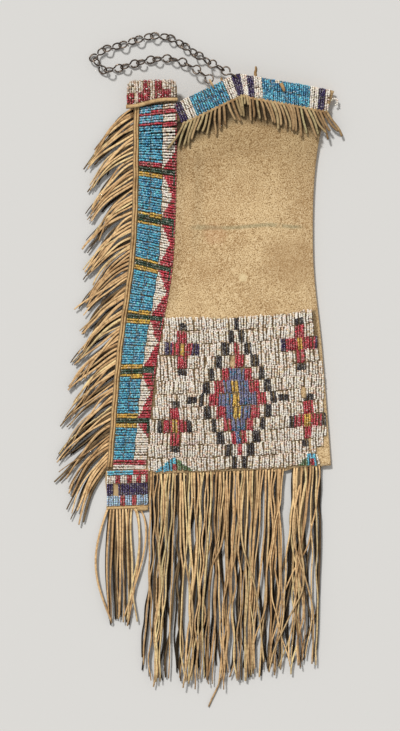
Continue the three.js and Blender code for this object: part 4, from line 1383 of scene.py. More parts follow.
@dataclass(frozen=True)
class Flap:
    """The flap folded forward over the top of the strip: a folded leaf, two lanes of beads and a bound edge.

    Attributes:
        left: X of its left side.
        width: its width.
        top: Y of the fold.
        edge: Y of the free edge at its left end.
        climb: climb of the free edge to the right.
        thick: thickness with its beads.
        rounding: rounding of the upper corners.
    """

    left: float = -92.0
    width: float = 50.0
    top: float = 387.0
    edge: float = 360.6
    climb: float = 6.6
    thick: float = 3.2
    rounding: float = 6.0

    def free_edge(self, x: Array) -> Array:
        """Y of the free edge, which climbs to the right."""
        return self.edge + self.climb * ease(x, self.left - 1, self.left + 0.8 * self.width)

    def base(self, x: Array) -> Array:
        """Height of the hide that the flap is folded over."""
        return BAG.front(np.maximum(x, BAG.left(np.array(361.0))), np.full_like(x, 361.0))

    def under(self, x: Array) -> Array:
        """Underside of the front leaf."""
        return self.base(x) + BEAD + 2 * FIT + 0.2

    def leaf(self, x: Array) -> Array:
        """Height of the front leaf's upper face, without the beads."""
        return self.under(x) + self.thick - BEAD

    def outer(self, x: Array) -> Array:
        """Radius of the fold's outer face."""
        return (self.leaf(x) - self.base(x) + WALL) / 2

    def fold(self, x: Array) -> Array:
        """Y where the fold starts to turn, drawn down at the rounded corners."""
        share = np.abs(2 * (x - self.left) / self.width - 1)
        return self.top - BEAD - self.outer(x) - self.rounding * np.clip((share - 0.82) / 0.18, 0, 1) ** 2

    def height(self, x: Array, y: Array) -> Array:
        """Height of the hide under the beads: level on the front leaf, then round the fold."""
        over = np.clip((y - self.fold(x)) / self.outer(x), 0, 0.98)
        return self.leaf(x) - self.outer(x) * (1 - np.sqrt(1 - over**2)) - FIT

    def build(self) -> list[Thing]:
        """Folds the leaf, beads it and binds its edge.

        Returns:
            The objects.
        """
        x = np.linspace(self.left, self.left + self.width, 40)
        base, under, leaf, free = self.base(x), self.under(x), self.leaf(x), self.free_edge(x)
        low, foot = base - WALL, BAG.mouth(x) + 2 * FIT
        turn = np.linspace(0, np.pi, 20)

        def arc(radius: Array, start: Array) -> Array:
            """Half a turn of the fold at each X, up from a start."""
            y, z = self.fold(x)[:, None] + radius * np.sin(turn), start + radius - radius * np.cos(turn)
            return stacked(x[:, None], y, z)

        def level(y: Array, z: Array) -> Array:
            """One point at each X."""
            return stacked(x, y, z)[:, None]

        outer, inner = ((leaf - low) / 2)[:, None], ((under - base) / 2)[:, None]
        outside = [level(foot, low), arc(outer, low[:, None]), level(free, leaf)]
        inside = [level(free, under), arc(inner, base[:, None])[:, ::-1], level(foot, base)]
        hide = Piece.of_rings("flap_leaf", np.concatenate(outside + inside, 1), SHADED_HIDE)
        across = np.linspace(self.left - 0.8, self.left + self.width + 0.8, 40)
        path = stacked(across, self.free_edge(across) - 1.9, self.under(across) + 1.8)
        bound = Ribbons(path[None], [4.3], [3.6], [linear(206, 172, 124)])
        return [
            hide.build(),
            self.beads().build("flap_strings", ["strip_flap"], "white_beads", 52),
            bound.build("flap_edge", "flap_binding", "hide"),
        ]

    def beads(self) -> Beads:
        """Two lanes of upright strings, white with red blocks.

        Returns:
            The beads.
        """
        rng = np.random.default_rng(51)
        x = np.arange(self.left + 1.3, self.left + self.width - 0.8, STRING * 0.95)
        place, count, sets = x - self.left, 9, []
        upper = (np.abs(place - 20.4) < 3.4) | (np.abs(place - 31.8) < 3.8)
        lower = (place < 6.5) | (np.abs(place - 17.2) < 5.6) | (np.abs(place - 35.6) < 8.4)
        middle = mix(self.free_edge(x), self.fold(x) + 3.4, 0.47)
        spans = ((self.free_edge(x) + 0.4, middle, lower), (middle + 0.3, self.fold(x) + 3.4, upper))
        for low, high, red in spans:
            at = x + rng.normal(0, 0.16, x.size)
            start = stacked(at, low + rng.normal(0, 0.2, x.size))
            end = stacked(at + rng.normal(0, 0.3, x.size), high + rng.normal(0, 0.2, x.size))
            beads = Beads.on_strings(start, end, count, self.height)
            flecked = rng.random(len(beads.tint)) < 0.06
            white = strewn(Tint.WHITE, Tint.CREAM, 0.2, len(flecked), 54)
            beads.tint = painted(white, (np.repeat(red, count) & ~flecked, Tint.RED))
            beads.shade = 0.78 * beads.shade
            lost = np.random.default_rng(53).random(len(beads.tint)) < 0.04
            sets.append(beads.kept(~lost))
        return Beads.joined(sets)


@dataclass(frozen=True)
class LooseBeads:
    """A broken string of white beads that hangs out at the mouth's right end.

    Attributes:
        radius: radius of its bend.
        count: number of beads.
    """

    radius: float = 3.4
    count: int = 8

    def build(self) -> Thing:
        """Strings the beads along an arc that falls away from the pouch.

        Returns:
            The object.
        """
        y = 366.0
        turn = np.radians(np.linspace(150, -60, self.count))
        arc = self.radius * stacked(np.cos(turn) - np.cos(turn[0]), np.sin(turn) - np.sin(turn[0]))
        start = np.array([float(BAG.right(np.array(y))) + FIT + BEAD / 2, y])
        centre = np.concatenate([start + arc, 5.7 - 0.2 * arc[:, :1]], 1)
        along = unit(np.gradient(centre, axis=0))
        across = unit(stacked(-along[:, 1], along[:, 0], 0.0))
        tint = np.full(self.count, Tint.WHITE.number)
        beads = Beads(centre, along, across, np.full(self.count, 1.5), tint, np.ones(self.count))
        return beads.build("loose_string", ["loose_beads"], "white_beads", 61)


# Hide


@dataclass(frozen=True)
class Pouch:
    """The pouch: one hide folded into two walls, closed at the sides and the bottom and open at the mouth.

    Attributes:
        across: points across a wall.
        edge: points round half a side edge.
        rows: rings on the outside.
        rows_inside: rings on the inside.
        fold: hide that is sewn together along the sides.
        depth: hide that is sewn together at the bottom, as a share of the length.
    """

    across: int = 84
    edge: int = 5
    rows: int = 150
    rows_inside: int = 60
    fold: float = 3.0
    depth: float = 9.0 / 361.0

    def rings(self, t: Array, inset: float, wall: float) -> Array:
        """Rings round the pouch at shares t of its length.

        A ring runs over the front wall from left to right, round the right edge as half an ellipse, back
        under the back wall and round the left edge.

        Args:
            t: shares from the bottom seam to the mouth.
            inset: distance by which the sides are drawn in.
            wall: distance by which front and back are drawn towards each other.

        Returns:
            Points, rings by points by three.
        """
        s = np.linspace(0, 1, self.across)[None]
        x, y = BAG.plan(np.repeat(s, len(t), 0), np.repeat(t[:, None], self.across, 1), inset)
        top = stacked(x, y, BAG.front(x, y) - wall)
        under = stacked(x, y, BAG.back(x, y) + wall)[:, ::-1]
        turn = np.linspace(0, np.pi, self.edge + 2)[1:-1, None]

        def edge_round(first: Array, last: Array, out: float) -> Array:
            """Half an ellipse from one wall's side to the other's."""
            arc = ((first + last) / 2)[:, None] + ((first - last) / 2)[:, None] * np.cos(turn)
            return arc + np.array([out, 0, 0]) * np.sin(turn)

        bulge = 1.3 if wall == 0 else 0.6
        right = edge_round(top[:, -1], under[:, 0], bulge)
        left = edge_round(under[:, -1], top[:, 0], -bulge)
        half = self.edge // 2
        return np.concatenate([left[:, half:], top, right, under, left[:, :half]], 1)

    def build(self) -> Thing:
        """Sews the pouch.

        Returns:
            The object.
        """
        outside = self.rings(np.linspace(0, 1, self.rows), 0.0, 0.0)
        rim = self.rings(np.array([1.0]), 1.2, WALL / 2)
        rim[..., 1] += 0.5
        inside = self.rings(np.linspace(1, self.depth, self.rows_inside), self.fold, WALL)
        rings = np.concatenate([outside, rim, inside])
        tint = self.shading(rings.reshape(-1, 3))
        return Piece.of_rings("pouch_hide", rings, FRONT_HIDE, ["pouch"], tint).build()

    @staticmethod
    def shading(points: Array) -> Array:
        """Painted shade on the hide, as a colour factor: painted shade under the beads, beside the strip and
        along a crease, a painted shadow under the mouth fringe, and hide darker and more olive towards the
        mouth.

        Args:
            points: points of the pouch.

        Returns:
            Colours.
        """
        x, y, z = points.T
        panel = Panel()
        below = y < panel.edge(x, np.full_like(x, panel.lanes)) - 1.0
        under = below & (x < BAG.right(y) - 1.5) & panel.whole(x, y) & (y > BAG.seam(x) + 2.5)
        under = under | (x < BAG.strip_right(y) - 0.5)
        band = BAG.mouth(x) - y
        under = under | (band < 20.0) & (band > 1.5) & (x < 105)
        front = z > (BAG.front(x, y) + BAG.back(x, y)) / 2
        fringed = front * ease(band, 17, 20) * (1 - ease(band, 37, 51))
        # painted shade on the hide under the beads, and a painted shadow under the mouth fringe
        shade = np.where(under & front, 0.36, 1.0) * (1 - 0.86 * fringed)
        # painted shade beside the strip, and along a vertical crease across the front
        side = x - BAG.strip_right(y)
        beside = front * (1 - ease(side, 0, 16)) * ease(y, 140, 170)
        dent = front * np.exp(-(((side - 21) / 7) ** 2)) * ease(y, 200, 235) * (1 - ease(y, 300, 330))
        shade = shade * (1 - 0.18 * beside) * (1 - 0.14 * dent)
        upper = ease(y, 255.0, 335.0) * front
        tone = stacked(1 - 0.24 * upper, 1 - 0.26 * upper, 1 - 0.3 * upper)
        return shade[:, None] * tone


@dataclass(frozen=True)
class Welt:
    """The welt along the left seam: two rolls of hide with a groove between them.

    Attributes:
        low: Y of its lower end.
        high: Y of its upper end.
        height: height of the rolls.
    """

    low: float = -1.4
    high: float = 360.0
    height: float = 2.5

    def build(self) -> Thing:
        """Lays the welt.

        Across the welt the height is two sine arches, between which a groove is left; small stitches dent it
        along its length.

        Returns:
            The object.
        """
        share, y = np.meshgrid(np.linspace(0, 1, 17), np.linspace(self.low, self.high, 300), indexing="xy")
        x = BAG.left(y) + mix(-0.6, BAG.welt, share) + 0.25 * np.sin(y / 5.0)
        arch = np.abs(sine(share)) ** 0.6 * (0.92 + 0.08 * np.sin(2 * np.pi * y / 3.4))
        base = BAG.front(x, y)
        top = stacked(x, y, base + 0.2 + self.height * arch)
        bottom = stacked(x, y, base - 0.5)[:, ::-1]
        groove = np.clip(np.abs(share - 0.5) / 0.1, 0, 1)[..., None]
        tone = mix(linear(136, 84, 38), linear(214, 178, 126), groove)
        tint = np.concatenate([tone, tone], 1).reshape(-1, 3)
        rings = np.concatenate([top, bottom], 1)
        return Piece.of_rings("welt_rolls", rings, STRAND, ["side_welt"], tint).build()


@dataclass
class Ribbons:
    """Strips of cut hide swept along paths.

    Attributes:
        paths: paths, strips by steps by three.
        width: width of each strip.
        thick: thickness of each strip.
        tint: colour of each strip.
        twist: turn of each strip about its path at each step, or nothing.
        tip: share of the width left at the tip.
    """

    paths: Array
    width: Array | Sequence[float]
    thick: Array | Sequence[float]
    tint: Array | Sequence[Rgb]
    twist: Array | None = None
    tip: float = 0.85

    SIDES = 8

    def __post_init__(self) -> None:
        """Turns plain lists into arrays."""
        self.width, self.thick, self.tint = map(np.asarray, (self.width, self.thick, self.tint))

    def joined(self, other: "Ribbons") -> "Ribbons":
        """These strips and others, which lie untwisted, as one set.

        Args:
            other: the others.

        Returns:
            All the strips.
        """
        names = ("paths", "width", "thick", "tint")
        arrays = [np.concatenate([getattr(self, name), getattr(other, name)]) for name in names]
        return Ribbons(*arrays, np.concatenate([self.twist, np.zeros(other.paths.shape[:2])]), self.tip)

    def build(self, name: str, node: str, slot: str) -> Thing:
        """One piece with all the strips.

        The section is an oval with flattened sides, set across the path and turned by the twist; it tapers to
        the tip over its second half. Painted shade darkens its sides and underside, and more where it is
        turned on edge.

        Args:
            name: object name.
            node: node of the part that the strips stand for.
            slot: material slot.

        Returns:
            The object.
        """
        count, steps, _ = self.paths.shape
        ahead = unit(np.gradient(self.paths, axis=1))
        side = unit(stacked(-ahead[..., 1], ahead[..., 0], 0.0))
        up = np.cross(ahead, side)
        turn = np.zeros((count, steps)) if self.twist is None else self.twist
        cos, sin = np.cos(turn)[..., None], np.sin(turn)[..., None]
        side, up = side * cos + up * sin, up * cos - side * sin
        angle = 2 * np.pi * (np.arange(self.SIDES) + 0.5) / self.SIDES
        flat = [np.sign(f) * np.abs(f) ** 0.85 / 2 for f in (np.cos(angle), np.sin(angle))]
        taper = 1 - (1 - self.tip) * ease(np.linspace(0, 1, steps), 0.45, 1.0)
        taper[-1] *= 0.85
        wide = (self.width[:, None] * taper)[..., None, None] * flat[0][:, None]
        deep = (self.thick[:, None] * taper)[..., None, None] * flat[1][:, None]
        points = self.paths[:, :, None] + wide * side[:, :, None] + deep * up[:, :, None]
        block = steps * self.SIDES
        faces = grid_faces(steps, self.SIDES, wrap=True)
        column, row = unrolled(faces, self.SIDES)
        wall = stacked(column, row / (steps - 1) * 0.94)
        ends = np.stack([np.arange(self.SIDES)[::-1], np.arange(self.SIDES) + block - self.SIDES])
        disc = stacked(np.cos(angle), np.sin(angle)) * np.array([0.2, 0.012])
        cap = np.stack([disc[::-1] + np.array([0.25, 0.98]), disc + np.array([0.75, 0.98])])
        cells = [cell_map(*part, count, upright=True) for part in ((faces, wall), (ends, cap))]
        # painted shade: each strand darker on its sides and underside, as light falls from above, and darker
        # where it twists on edge
        facing = np.cos(angle) * side[..., 2:] + np.sin(angle) * up[..., 2:]
        shade = 0.18 + 0.9 * np.clip((facing + 0.4) / 1.25, 0, 1)
        shade = shade * (0.82 + 0.18 * np.cos(2 * turn))[..., None]
        tint = self.tint[:, None, None] * shade[..., None]
        faces = [repeated(part, count, block) for part in (faces, ends)]
        return Piece(
            name, points.reshape(-1, 3), faces, STRAND, slot, [node],
            tint=tint.reshape(-1, 3), cells=np.concatenate(cells),
        ).build()


def layers(order: Sequence[int], count: int, rng: Rng) -> Array:
    """Layer of each strand, 0 the lowest, in an order that repeats; one strand in five is out of order."""
    layer = np.resize(np.array(order), count)
    return np.where(rng.random(count) < 0.2, rng.permutation(layer), layer)


def strand_tones(layer: Array, rng: Rng) -> Array:
    """Colours of fringe strands: pale tan, with painted light on the upper layers and painted shade on the
    lower ones.

    Args:
        layer: layer of each strand, 0 for the lowest.
        rng: scatter.

    Returns:
        Colours.
    """
    share = rng.beta(2.2, 1.5, layer.size)[:, None]
    # painted shade on the two lower layers, nearly black at the lowest, and painted light on the two upper
    # ones
    shade = np.array([0.05, 0.26, 1.16, 1.26])[layer][:, None]
    tone = mix(linear(170, 132, 90), linear(245, 207, 153), share)
    return np.minimum(shade * tone, 0.92)


@dataclass(frozen=True)
class Fringe:
    """What the fringes share: strands side by side, cut from a strip that stays whole along its edge.

    Attributes:
        count: number of strands.
        steps: points along a strand.
    """

    count: int
    steps: int

    @property
    def share(self) -> Array:
        """Place of each strand along the fringe, from 0 to 1."""
        return (np.arange(self.count) + 0.5) / self.count

    @property
    def down(self) -> Array:
        """Places along a strand, from 0 to 1, as one row."""
        return np.linspace(0, 1, self.steps)[None]

    def spread(self, rng: Rng, size: float) -> Array:
        """Scatter of that size about 0, as a column with a row for each strand."""
        return rng.normal(0, size, (self.count, 1))


@dataclass(frozen=True)
class SideFringe(Fringe):
    """The fringe along the left seam: strands that arch down to the left and hang together in clumps.

    Attributes:
        length: usual length.
        clumps: number of clumps.
        usual_at: places along the fringe at which the length is given.
        usual: share of the usual length at those places.
    """

    count: int = 168
    steps: int = 26
    length: float = 66.0
    clumps: int = 13
    usual_at: tuple[float, ...] = (0.0, 0.15, 0.35, 0.6, 0.72, 0.8, 1.0)
    usual: tuple[float, ...] = (0.88, 0.9, 0.92, 0.93, 0.96, 1.05, 1.05)

    def build(self) -> Thing:
        """Cuts the strands; their headings turn evenly from the first to the last, with a slow wave.

        Returns:
            The object.
        """
        rng, share, s = np.random.default_rng(71), self.share, self.down
        y = mix(359.5, -1.5, share) + rng.normal(0, 1.1, self.count)
        inner = np.linspace(0, 1, self.clumps + 1)[1:-1] + rng.normal(0, 0.012, self.clumps - 1)
        bounds = np.sort(np.append(inner, [0, 1]))
        clump = np.clip(np.searchsorted(bounds, share) - 1, 0, self.clumps - 1)
        spot = 2 * (share - bounds[clump]) / (bounds[clump + 1] - bounds[clump]) - 1
        first = 203 + 8 * share + 20 * ease(share, 0.92, 1.0) + rng.normal(0, 3, self.count)
        last = 240 - 6 * share - 12 * spot + 32 * ease(share, 0.9, 1.0) + rng.normal(0, 2.8, self.count)
        usual = np.interp(share, self.usual_at, self.usual)
        length = self.length * (1 + rng.normal(0, 0.06, self.count)) * usual * (1.04 - 0.16 * spot**2)
        wave = 6 * sine(rng.uniform(0.6, 1.5, (self.count, 1)) * s + rng.random((self.count, 1)))
        heading = np.radians(mix(first[:, None], last[:, None], s**0.8) + wave)
        start = stacked(BAG.left(y) - 0.4, y)
        layer = layers((2, 0, 2, 1), self.count, rng)
        length = length * np.where(layer == 0, 0.8, 1.0)
        level = layer[:, None]
        z = mix(1.9 + 0.4 * level, 1.1 + 1.6 * level, ease(s, 0.0, 0.45))
        z = z + 0.5 * np.sin(np.pi * s) * self.spread(rng, 1)
        paths = swept(start, heading, length, np.maximum(z, 0.9))
        width = np.clip(rng.normal(2.35, 0.35, self.count), 1.6, 3.2)
        thick = np.clip(rng.normal(1.4, 0.2, self.count), 1.0, 2.0)
        twist = self.spread(rng, 0.25) + self.spread(rng, 1.3) * s
        strands = Ribbons(paths, width, thick, strand_tones(layer, rng), twist, 0.66)
        seam = np.linspace(359.0, -1.4, self.steps)
        edge = stacked(BAG.left(seam) + 0.4, seam, 3.0)
        strands = strands.joined(Ribbons(edge[None], [2.6], [2.4], [linear(206, 170, 118)]))
        return strands.build("side_fringe_strands", "side_fringe", "fringe")


def swept(start: Array, heading: Array, length: Array, z: Array) -> Array:
    """Paths that start at given points and follow given headings.

    Args:
        start: first points in plan.
        heading: heading in radians at each step of each path.
        length: length of each path in plan.
        z: height at each step.

    Returns:
        Paths, paths by steps by three.
    """
    step = (length / (heading.shape[1] - 1))[:, None]
    middle = (heading[:, 1:] + heading[:, :-1]) / 2
    dx, dy = np.cos(middle) * step, np.sin(middle) * step
    none = np.zeros((len(start), 1))
    x = start[:, :1] + np.concatenate([none, np.cumsum(dx, 1)], 1)
    y = start[:, 1:] + np.concatenate([none, np.cumsum(dy, 1)], 1)
    return stacked(x, y, z)


@dataclass(frozen=True)
class BottomFringe(Fringe):
    """The long fringe below the panel, whose strands sway, cross and lie on each other.

    Attributes:
        left: X of its left end.
        right: X of its right end.
        length: usual length.
        taper: length by which its right end is shorter.
        gap: X of a gap between the strands.
        across: strands that lie across the others, as X at heights.
    """

    count: int = 124
    steps: int = 34
    left: float = -69.0
    right: float = 102.0
    length: float = 210.0
    taper: float = 14.0
    gap: float = 69.5
    across: tuple[EdgeCurve, ...] = (
        EdgeCurve((-198.0, -144.0, -122.0, -67.0, -3.0), (93.0, 94.0, 89.0, 74.0, 84.0)),
        EdgeCurve((-206.0, -185.0, -150.0, -122.0, -60.0, -3.0), (50.0, 55.0, 71.0, 84.0, 80.0, 89.0)),
        EdgeCurve((-196.0, -122.0, -74.0, -3.0), (45.0, 36.0, 23.0, 26.0)),
        EdgeCurve((-214.0, -160.0, -101.0, -80.0, -3.0), (-12.0, -10.0, -7.0, 2.0, 8.0)),
        EdgeCurve((-222.0, -150.0, -90.0, -3.0), (-36.0, -26.0, -34.0, -37.0)),
    )

    def build(self) -> Thing:
        """Cuts the strands.

        Each runs straight down with a lean and waves that grow along it; the upper ones draw together in
        pairs below the seam.

        Returns:
            The object.
        """
        rng, share, s = np.random.default_rng(81), self.share, self.down
        x0 = mix(self.left, self.right, share) + rng.normal(0, 0.45, self.count)
        aside = np.where(x0 > self.gap, 6.0, -6.0)
        x0 = np.where(np.abs(x0 - self.gap) < 4.0, x0 + aside, x0)
        wild = 1 + 1.4 * ease(share, 0.72, 0.95)
        lean = np.tan(np.radians(mix(-1.8, -2.2, share) + rng.normal(0, 1.2, self.count)))
        length = self.length * (1 + rng.normal(0, 0.022, self.count)) - self.taper * ease(share, 0.55, 1.0)
        length = length - 6 * (1 - ease(share, 0.0, 0.25))
        rate, phase = rng.uniform(0.45, 1.2, (self.count, 1)), rng.random((self.count, 1))
        sway = (rng.normal(0, 3.8, self.count) * wild)[:, None]
        wave = sway * (sine(rate * s + phase) - sine(phase)) * s**0.6
        small = self.spread(rng, 1.4) * sine(2.6 * s + phase) * np.sqrt(s)
        small = small + self.spread(rng, 0.45) * sine(5.2 * s + 3 * phase)
        layer = layers((3, 0, 2, 0, 3, 1, 2, 0), self.count, rng)
        length = length * np.where(layer == 0, 0.95, 1.0)
        pair = (np.where(layer > 1, 0.7, -0.5) * np.sin(x0 / 1.9))[:, None] * ease(s, 0.0, 0.09)
        x = x0[:, None] + (lean * length)[:, None] * s + wave + small + pair
        past_right = np.maximum(0.0, x - mix(self.right + 1.0, self.right - 5.0, s))
        past_left = np.maximum(0.0, self.left - 8.0 - x)
        x = x - 0.85 * past_right + 0.8 * past_left
        y = BAG.seam(x0)[:, None] + 0.4 - length[:, None] * s
        level = layer[:, None]
        z = mix(3.8 + 0.4 * level, 1.2 + 1.6 * level, ease(s, 0.0, 0.3)) + 0.6 * sine(s + phase) * s * (1 - s)
        loose = self.strays()
        paths = np.concatenate([stacked(x, y, np.maximum(z, 0.9)), loose])
        extra = np.ones(len(loose))
        width = np.append(np.clip(rng.normal(1.9, 0.35, self.count), 1.3, 2.7), 2.2 * extra)
        thick = np.append(np.clip(rng.normal(1.75, 0.2, self.count), 1.2, 2.3), 1.8 * extra)
        twist = self.spread(rng, 0.4) + self.spread(rng, 3.0) * s
        twist = np.concatenate([twist, np.repeat(2.4 * s, len(loose), 0)])
        tint = strand_tones(np.append(layer, np.full(len(loose), 2)), rng)
        strands = Ribbons(paths, width, thick, tint, twist)
        strands = strands.joined(Ribbons(self.edge(), [4.0], [2.6], [linear(244, 210, 158)]))
        return strands.build("bottom_fringe_strands", "bottom_fringe", "fringe")

    def strays(self) -> Array:
        """The strands on top: one hangs out below with its end curled to the left, the others lie across.

        Returns:
            Paths.
        """
        s = np.linspace(0, 1, self.steps)
        x = 1.5 + 6.0 * np.sin(np.pi * s) - 14.0 * ease(s, 0.84, 1.05)
        paths = [stacked(x, -1.6 - 240.0 * s, 2.6 - 1.6 * ease(s, 0.6, 1.0))]
        for curve in self.across:
            y = mix(curve.heights[-1], curve.heights[0], s)
            paths.append(stacked(curve(y), y, mix(3.2, 7.2, ease(s, 0.0, 0.3))))
        return np.stack(paths)

    def edge(self) -> Array:
        """The uncut edge that the strands hang from.

        Returns:
            Its path.
        """
        x = np.linspace(self.left - 1.5, self.right + 1.5, self.steps)
        ragged = 0.7 * np.sin(x / 5.0) + 0.6 * np.sin(x / 2.3 + 1.0)
        return stacked(x, BAG.seam(x) - 0.6 + ragged, 3.2)[None]


@dataclass(frozen=True)
class TailFringe(Fringe):
    """The fringe below the tail, bowed out at both sides and drawn together at its end.

    Attributes:
        left: X of its left end.
        right: X of its right end.
        top: length of the tail above it.
        length: usual length.
    """

    count: int = 20
    steps: int = 28
    left: float = -112.0
    right: float = -82.0
    top: float = 37.5
    length: float = 114.0

    def build(self) -> Thing:
        """Cuts the strands: a lean towards the middle, half a sine of bow and a small wave.

        The three outer strands at each side have a bow and a lean of their own.

        Returns:
            The object.
        """
        rng, share, s = np.random.default_rng(91), self.share, self.down
        x0 = mix(self.left, self.right, share)
        length = self.length * (1 + rng.normal(0, 0.04, self.count)) - 4 * share
        phase = rng.random((self.count, 1))
        bow = rng.normal(-0.6, 0.9, self.count)
        drift = rng.normal(0.0, 1.5, self.count) + 5 * (share - 0.5)
        bow[:3], bow[-3:] = (-14.0, -4.0, -3.0), (8.0, 7.0, 13.0)
        drift[:3], drift[-3:] = (4.0, 1.0, -2.0), (-6.0, -9.0, -12.0)
        curve = np.sin(np.pi * s ** mix(1.0, 0.6, share)[:, None])
        x = x0[:, None] + bow[:, None] * curve + drift[:, None] * s
        x = x + self.spread(rng, 0.8) * sine(1.6 * s + phase) * s
        y = BAG.bottom(x0)[:, None] - self.top - 0.5 - length[:, None] * s
        layer = np.resize((2, 0, 2, 1), self.count)
        layer[-3:] = 2
        z = mix(1.4, 1.1 + 1.5 * layer[:, None], ease(s, 0, 0.3))
        width = np.clip(rng.normal(2.1, 0.25, self.count), 1.6, 2.8)
        twist = self.spread(rng, 1.1) * s
        tint = strand_tones(layer, rng)
        strands = Ribbons(stacked(x, y, z), width, np.full(self.count, 1.6), tint, twist)
        edge_x = np.linspace([self.left - 0.5, -82.0], [-70.5, -71.0], self.steps, axis=1)
        edge_y = BAG.bottom(edge_x) - self.top - np.array([[0.6], [2.6]])
        edges = stacked(edge_x, edge_y, 1.8)
        tints = [linear(210, 174, 122), linear(204, 172, 122)]
        strands = strands.joined(Ribbons(edges, [2.8, 4.6], [2.6, 2.8], tints))
        return strands.build("tail_fringe_strands", "tail_fringe", "fringe")


@dataclass(frozen=True)
class MouthFringe(Fringe):
    """The short fringe under the mouth band, splayed over the strip on the left and the edge on the right.

    Attributes:
        band: the band that it hangs from.
        fan: places along the fringe at which the next three are given.
        headings: headings of the strands at their roots, in degrees.
        bends: turn of the strands along their length, in degrees.
        lengths: lengths of the strands.
    """

    count: int = 40
    steps: int = 18
    band: MouthBand = field(default_factory=MouthBand)
    fan: tuple[float, ...] = (0.0, 0.15, 0.25, 0.31, 0.38, 0.48, 0.56, 0.7, 0.78, 0.86, 1.0)
    headings: tuple[float, ...] = (246, 254, 266, 288, 282, 276, 302, 304, 284, 294, 300)
    bends: tuple[float, ...] = (-6, 2, 6, 12, -6, -4, -30, -38, -16, 4, 12)
    lengths: tuple[float, ...] = (30, 26, 24, 23, 22, 23, 25, 29, 28, 31, 30)

    def lying(self, x: Array, y: Array, level: Array) -> Array:
        """Height of strands on the front wall and the strip, falling away past the right edge.

        Args:
            x: plan X.
            y: plan Y.
            level: height over what they lie on.

        Returns:
            Heights.
        """
        edge = BAG.right(y)
        over = np.maximum(0.0, x - edge)
        rest = BAG.front(np.minimum(x, edge - 1), y) + 1.0
        strip = ease(BAG.strip_right(y) - x, -3.0, 2.0) * BEAD
        return np.maximum(1.2, rest + strip - 0.25 * over) + level

    def build(self) -> Thing:
        """Cuts the strands along headings that fan out from down-left to down-right.

        Returns:
            The object.
        """
        rng, share, s = np.random.default_rng(101), self.share, self.down
        along = mix(self.band.ends[0] + 1.0, self.band.ends[1] - 1.0, share)
        root = self.band.plan(along, 1.0) + np.array([0.0, 1.0])
        first = np.interp(share, self.fan, self.headings) + rng.normal(0, 1.5, self.count)
        bend = np.interp(share, self.fan, self.bends) + rng.normal(0, 5, self.count)
        uneven = np.clip(rng.normal(1, 0.08, self.count), 0.75, 1.2)
        length = np.interp(share, self.fan, self.lengths) * uneven
        length = np.where(np.abs(along - 21.0) < 3.0, 0.45, 1.0) * length
        wave = self.spread(rng, 9) * sine(0.9 * s + rng.random((self.count, 1))) * s
        paths = swept(root, np.radians(first[:, None] + bend[:, None] * s + wave), length, 0 * s)
        layer = layers((2, 3), self.count, rng)
        level = (0.6 + 0.6 * layer[:, None]) * ease(s, 0.0, 0.4)
        paths[..., 2] = self.lying(paths[..., 0], paths[..., 1], level)
        width = np.clip(rng.normal(2.6, 0.25, self.count), 2.1, 3.1)
        twist = self.spread(rng, 0.45) * s
        tint = 0.56 * strand_tones(layer, rng)
        strands = Ribbons(paths, width, np.full(self.count, 2.1), tint, twist, 0.94)
        edge = np.linspace(self.band.ends[0] + 0.5, self.band.ends[1] - 0.5, self.steps)
        low = self.band.plan(edge, 1.0) - np.array([0.0, 0.8])
        edge = stacked(*low.T, BAG.front(*low.T) + 1.1)
        strands = strands.joined(Ribbons(edge[None], [2.4], [1.8], [linear(196, 160, 112)]))
        return strands.build("mouth_fringe_strands", "mouth_fringe", "fringe")


@dataclass(frozen=True)
class Thongs:
    """Ends of thong that stick out of the mouth and of the band.

    Attributes:
        mouth: for each thong at the mouth its X, length inside, length outside and lean.
        band: route of the thong on the band, as X along it and share down it.
        steps: points along a thong.
    """

    mouth: tuple[tuple[float, float, float, float], ...] = ((36, 14, 11, 0.1), (3, 10, 4, -0.2))
    band: tuple[tuple[float, float], ...] = ((61.5, 0.12), (63.5, 0.3), (65, 0.48))
    steps: int = 14

    def build(self) -> list[Thing]:
        """Lays the thongs.

        Returns:
            The objects.
        """
        things = []
        for i, (x, inside, outside, lean) in enumerate(self.mouth, 1):
            out, at = np.linspace(-inside, outside, self.steps), np.full(self.steps, float(x))
            free, rim = np.maximum(0.0, out), BAG.mouth(at)
            y = rim + out
            wall = BAG.front(at, np.minimum(y, rim)) - WALL - FIT
            path = stacked(x + lean * free + 0.3 * np.sin(free), y, wall - 0.9 - 0.15 * free)
            things.append(self.ribbon(path, f"mouth_thong_{i}", f"thong_mouth_{i}"))
        route = np.array(self.band)
        share = np.linspace(0, 1, self.steps)
        along = np.interp(share, (0, 0.5, 1), route[:, 0])
        plan = MouthBand().plan(along, np.interp(share, (0, 0.5, 1), route[:, 1]))
        path = stacked(*plan.T, BAG.front(*plan.T) + FIT + BEAD + 0.9)
        things.append(self.ribbon(path, "band_thong", "thong_band"))
        return things

    @staticmethod
    def ribbon(path: Array, name: str, node: str) -> Thing:
        """One thong along a path, half twisted."""
        twist = np.linspace(-0.3, 0.9, len(path))[None]
        return Ribbons(path[None], [3.8], [1.4], [linear(188, 152, 104)], twist).build(name, node, "hide")


# Chain


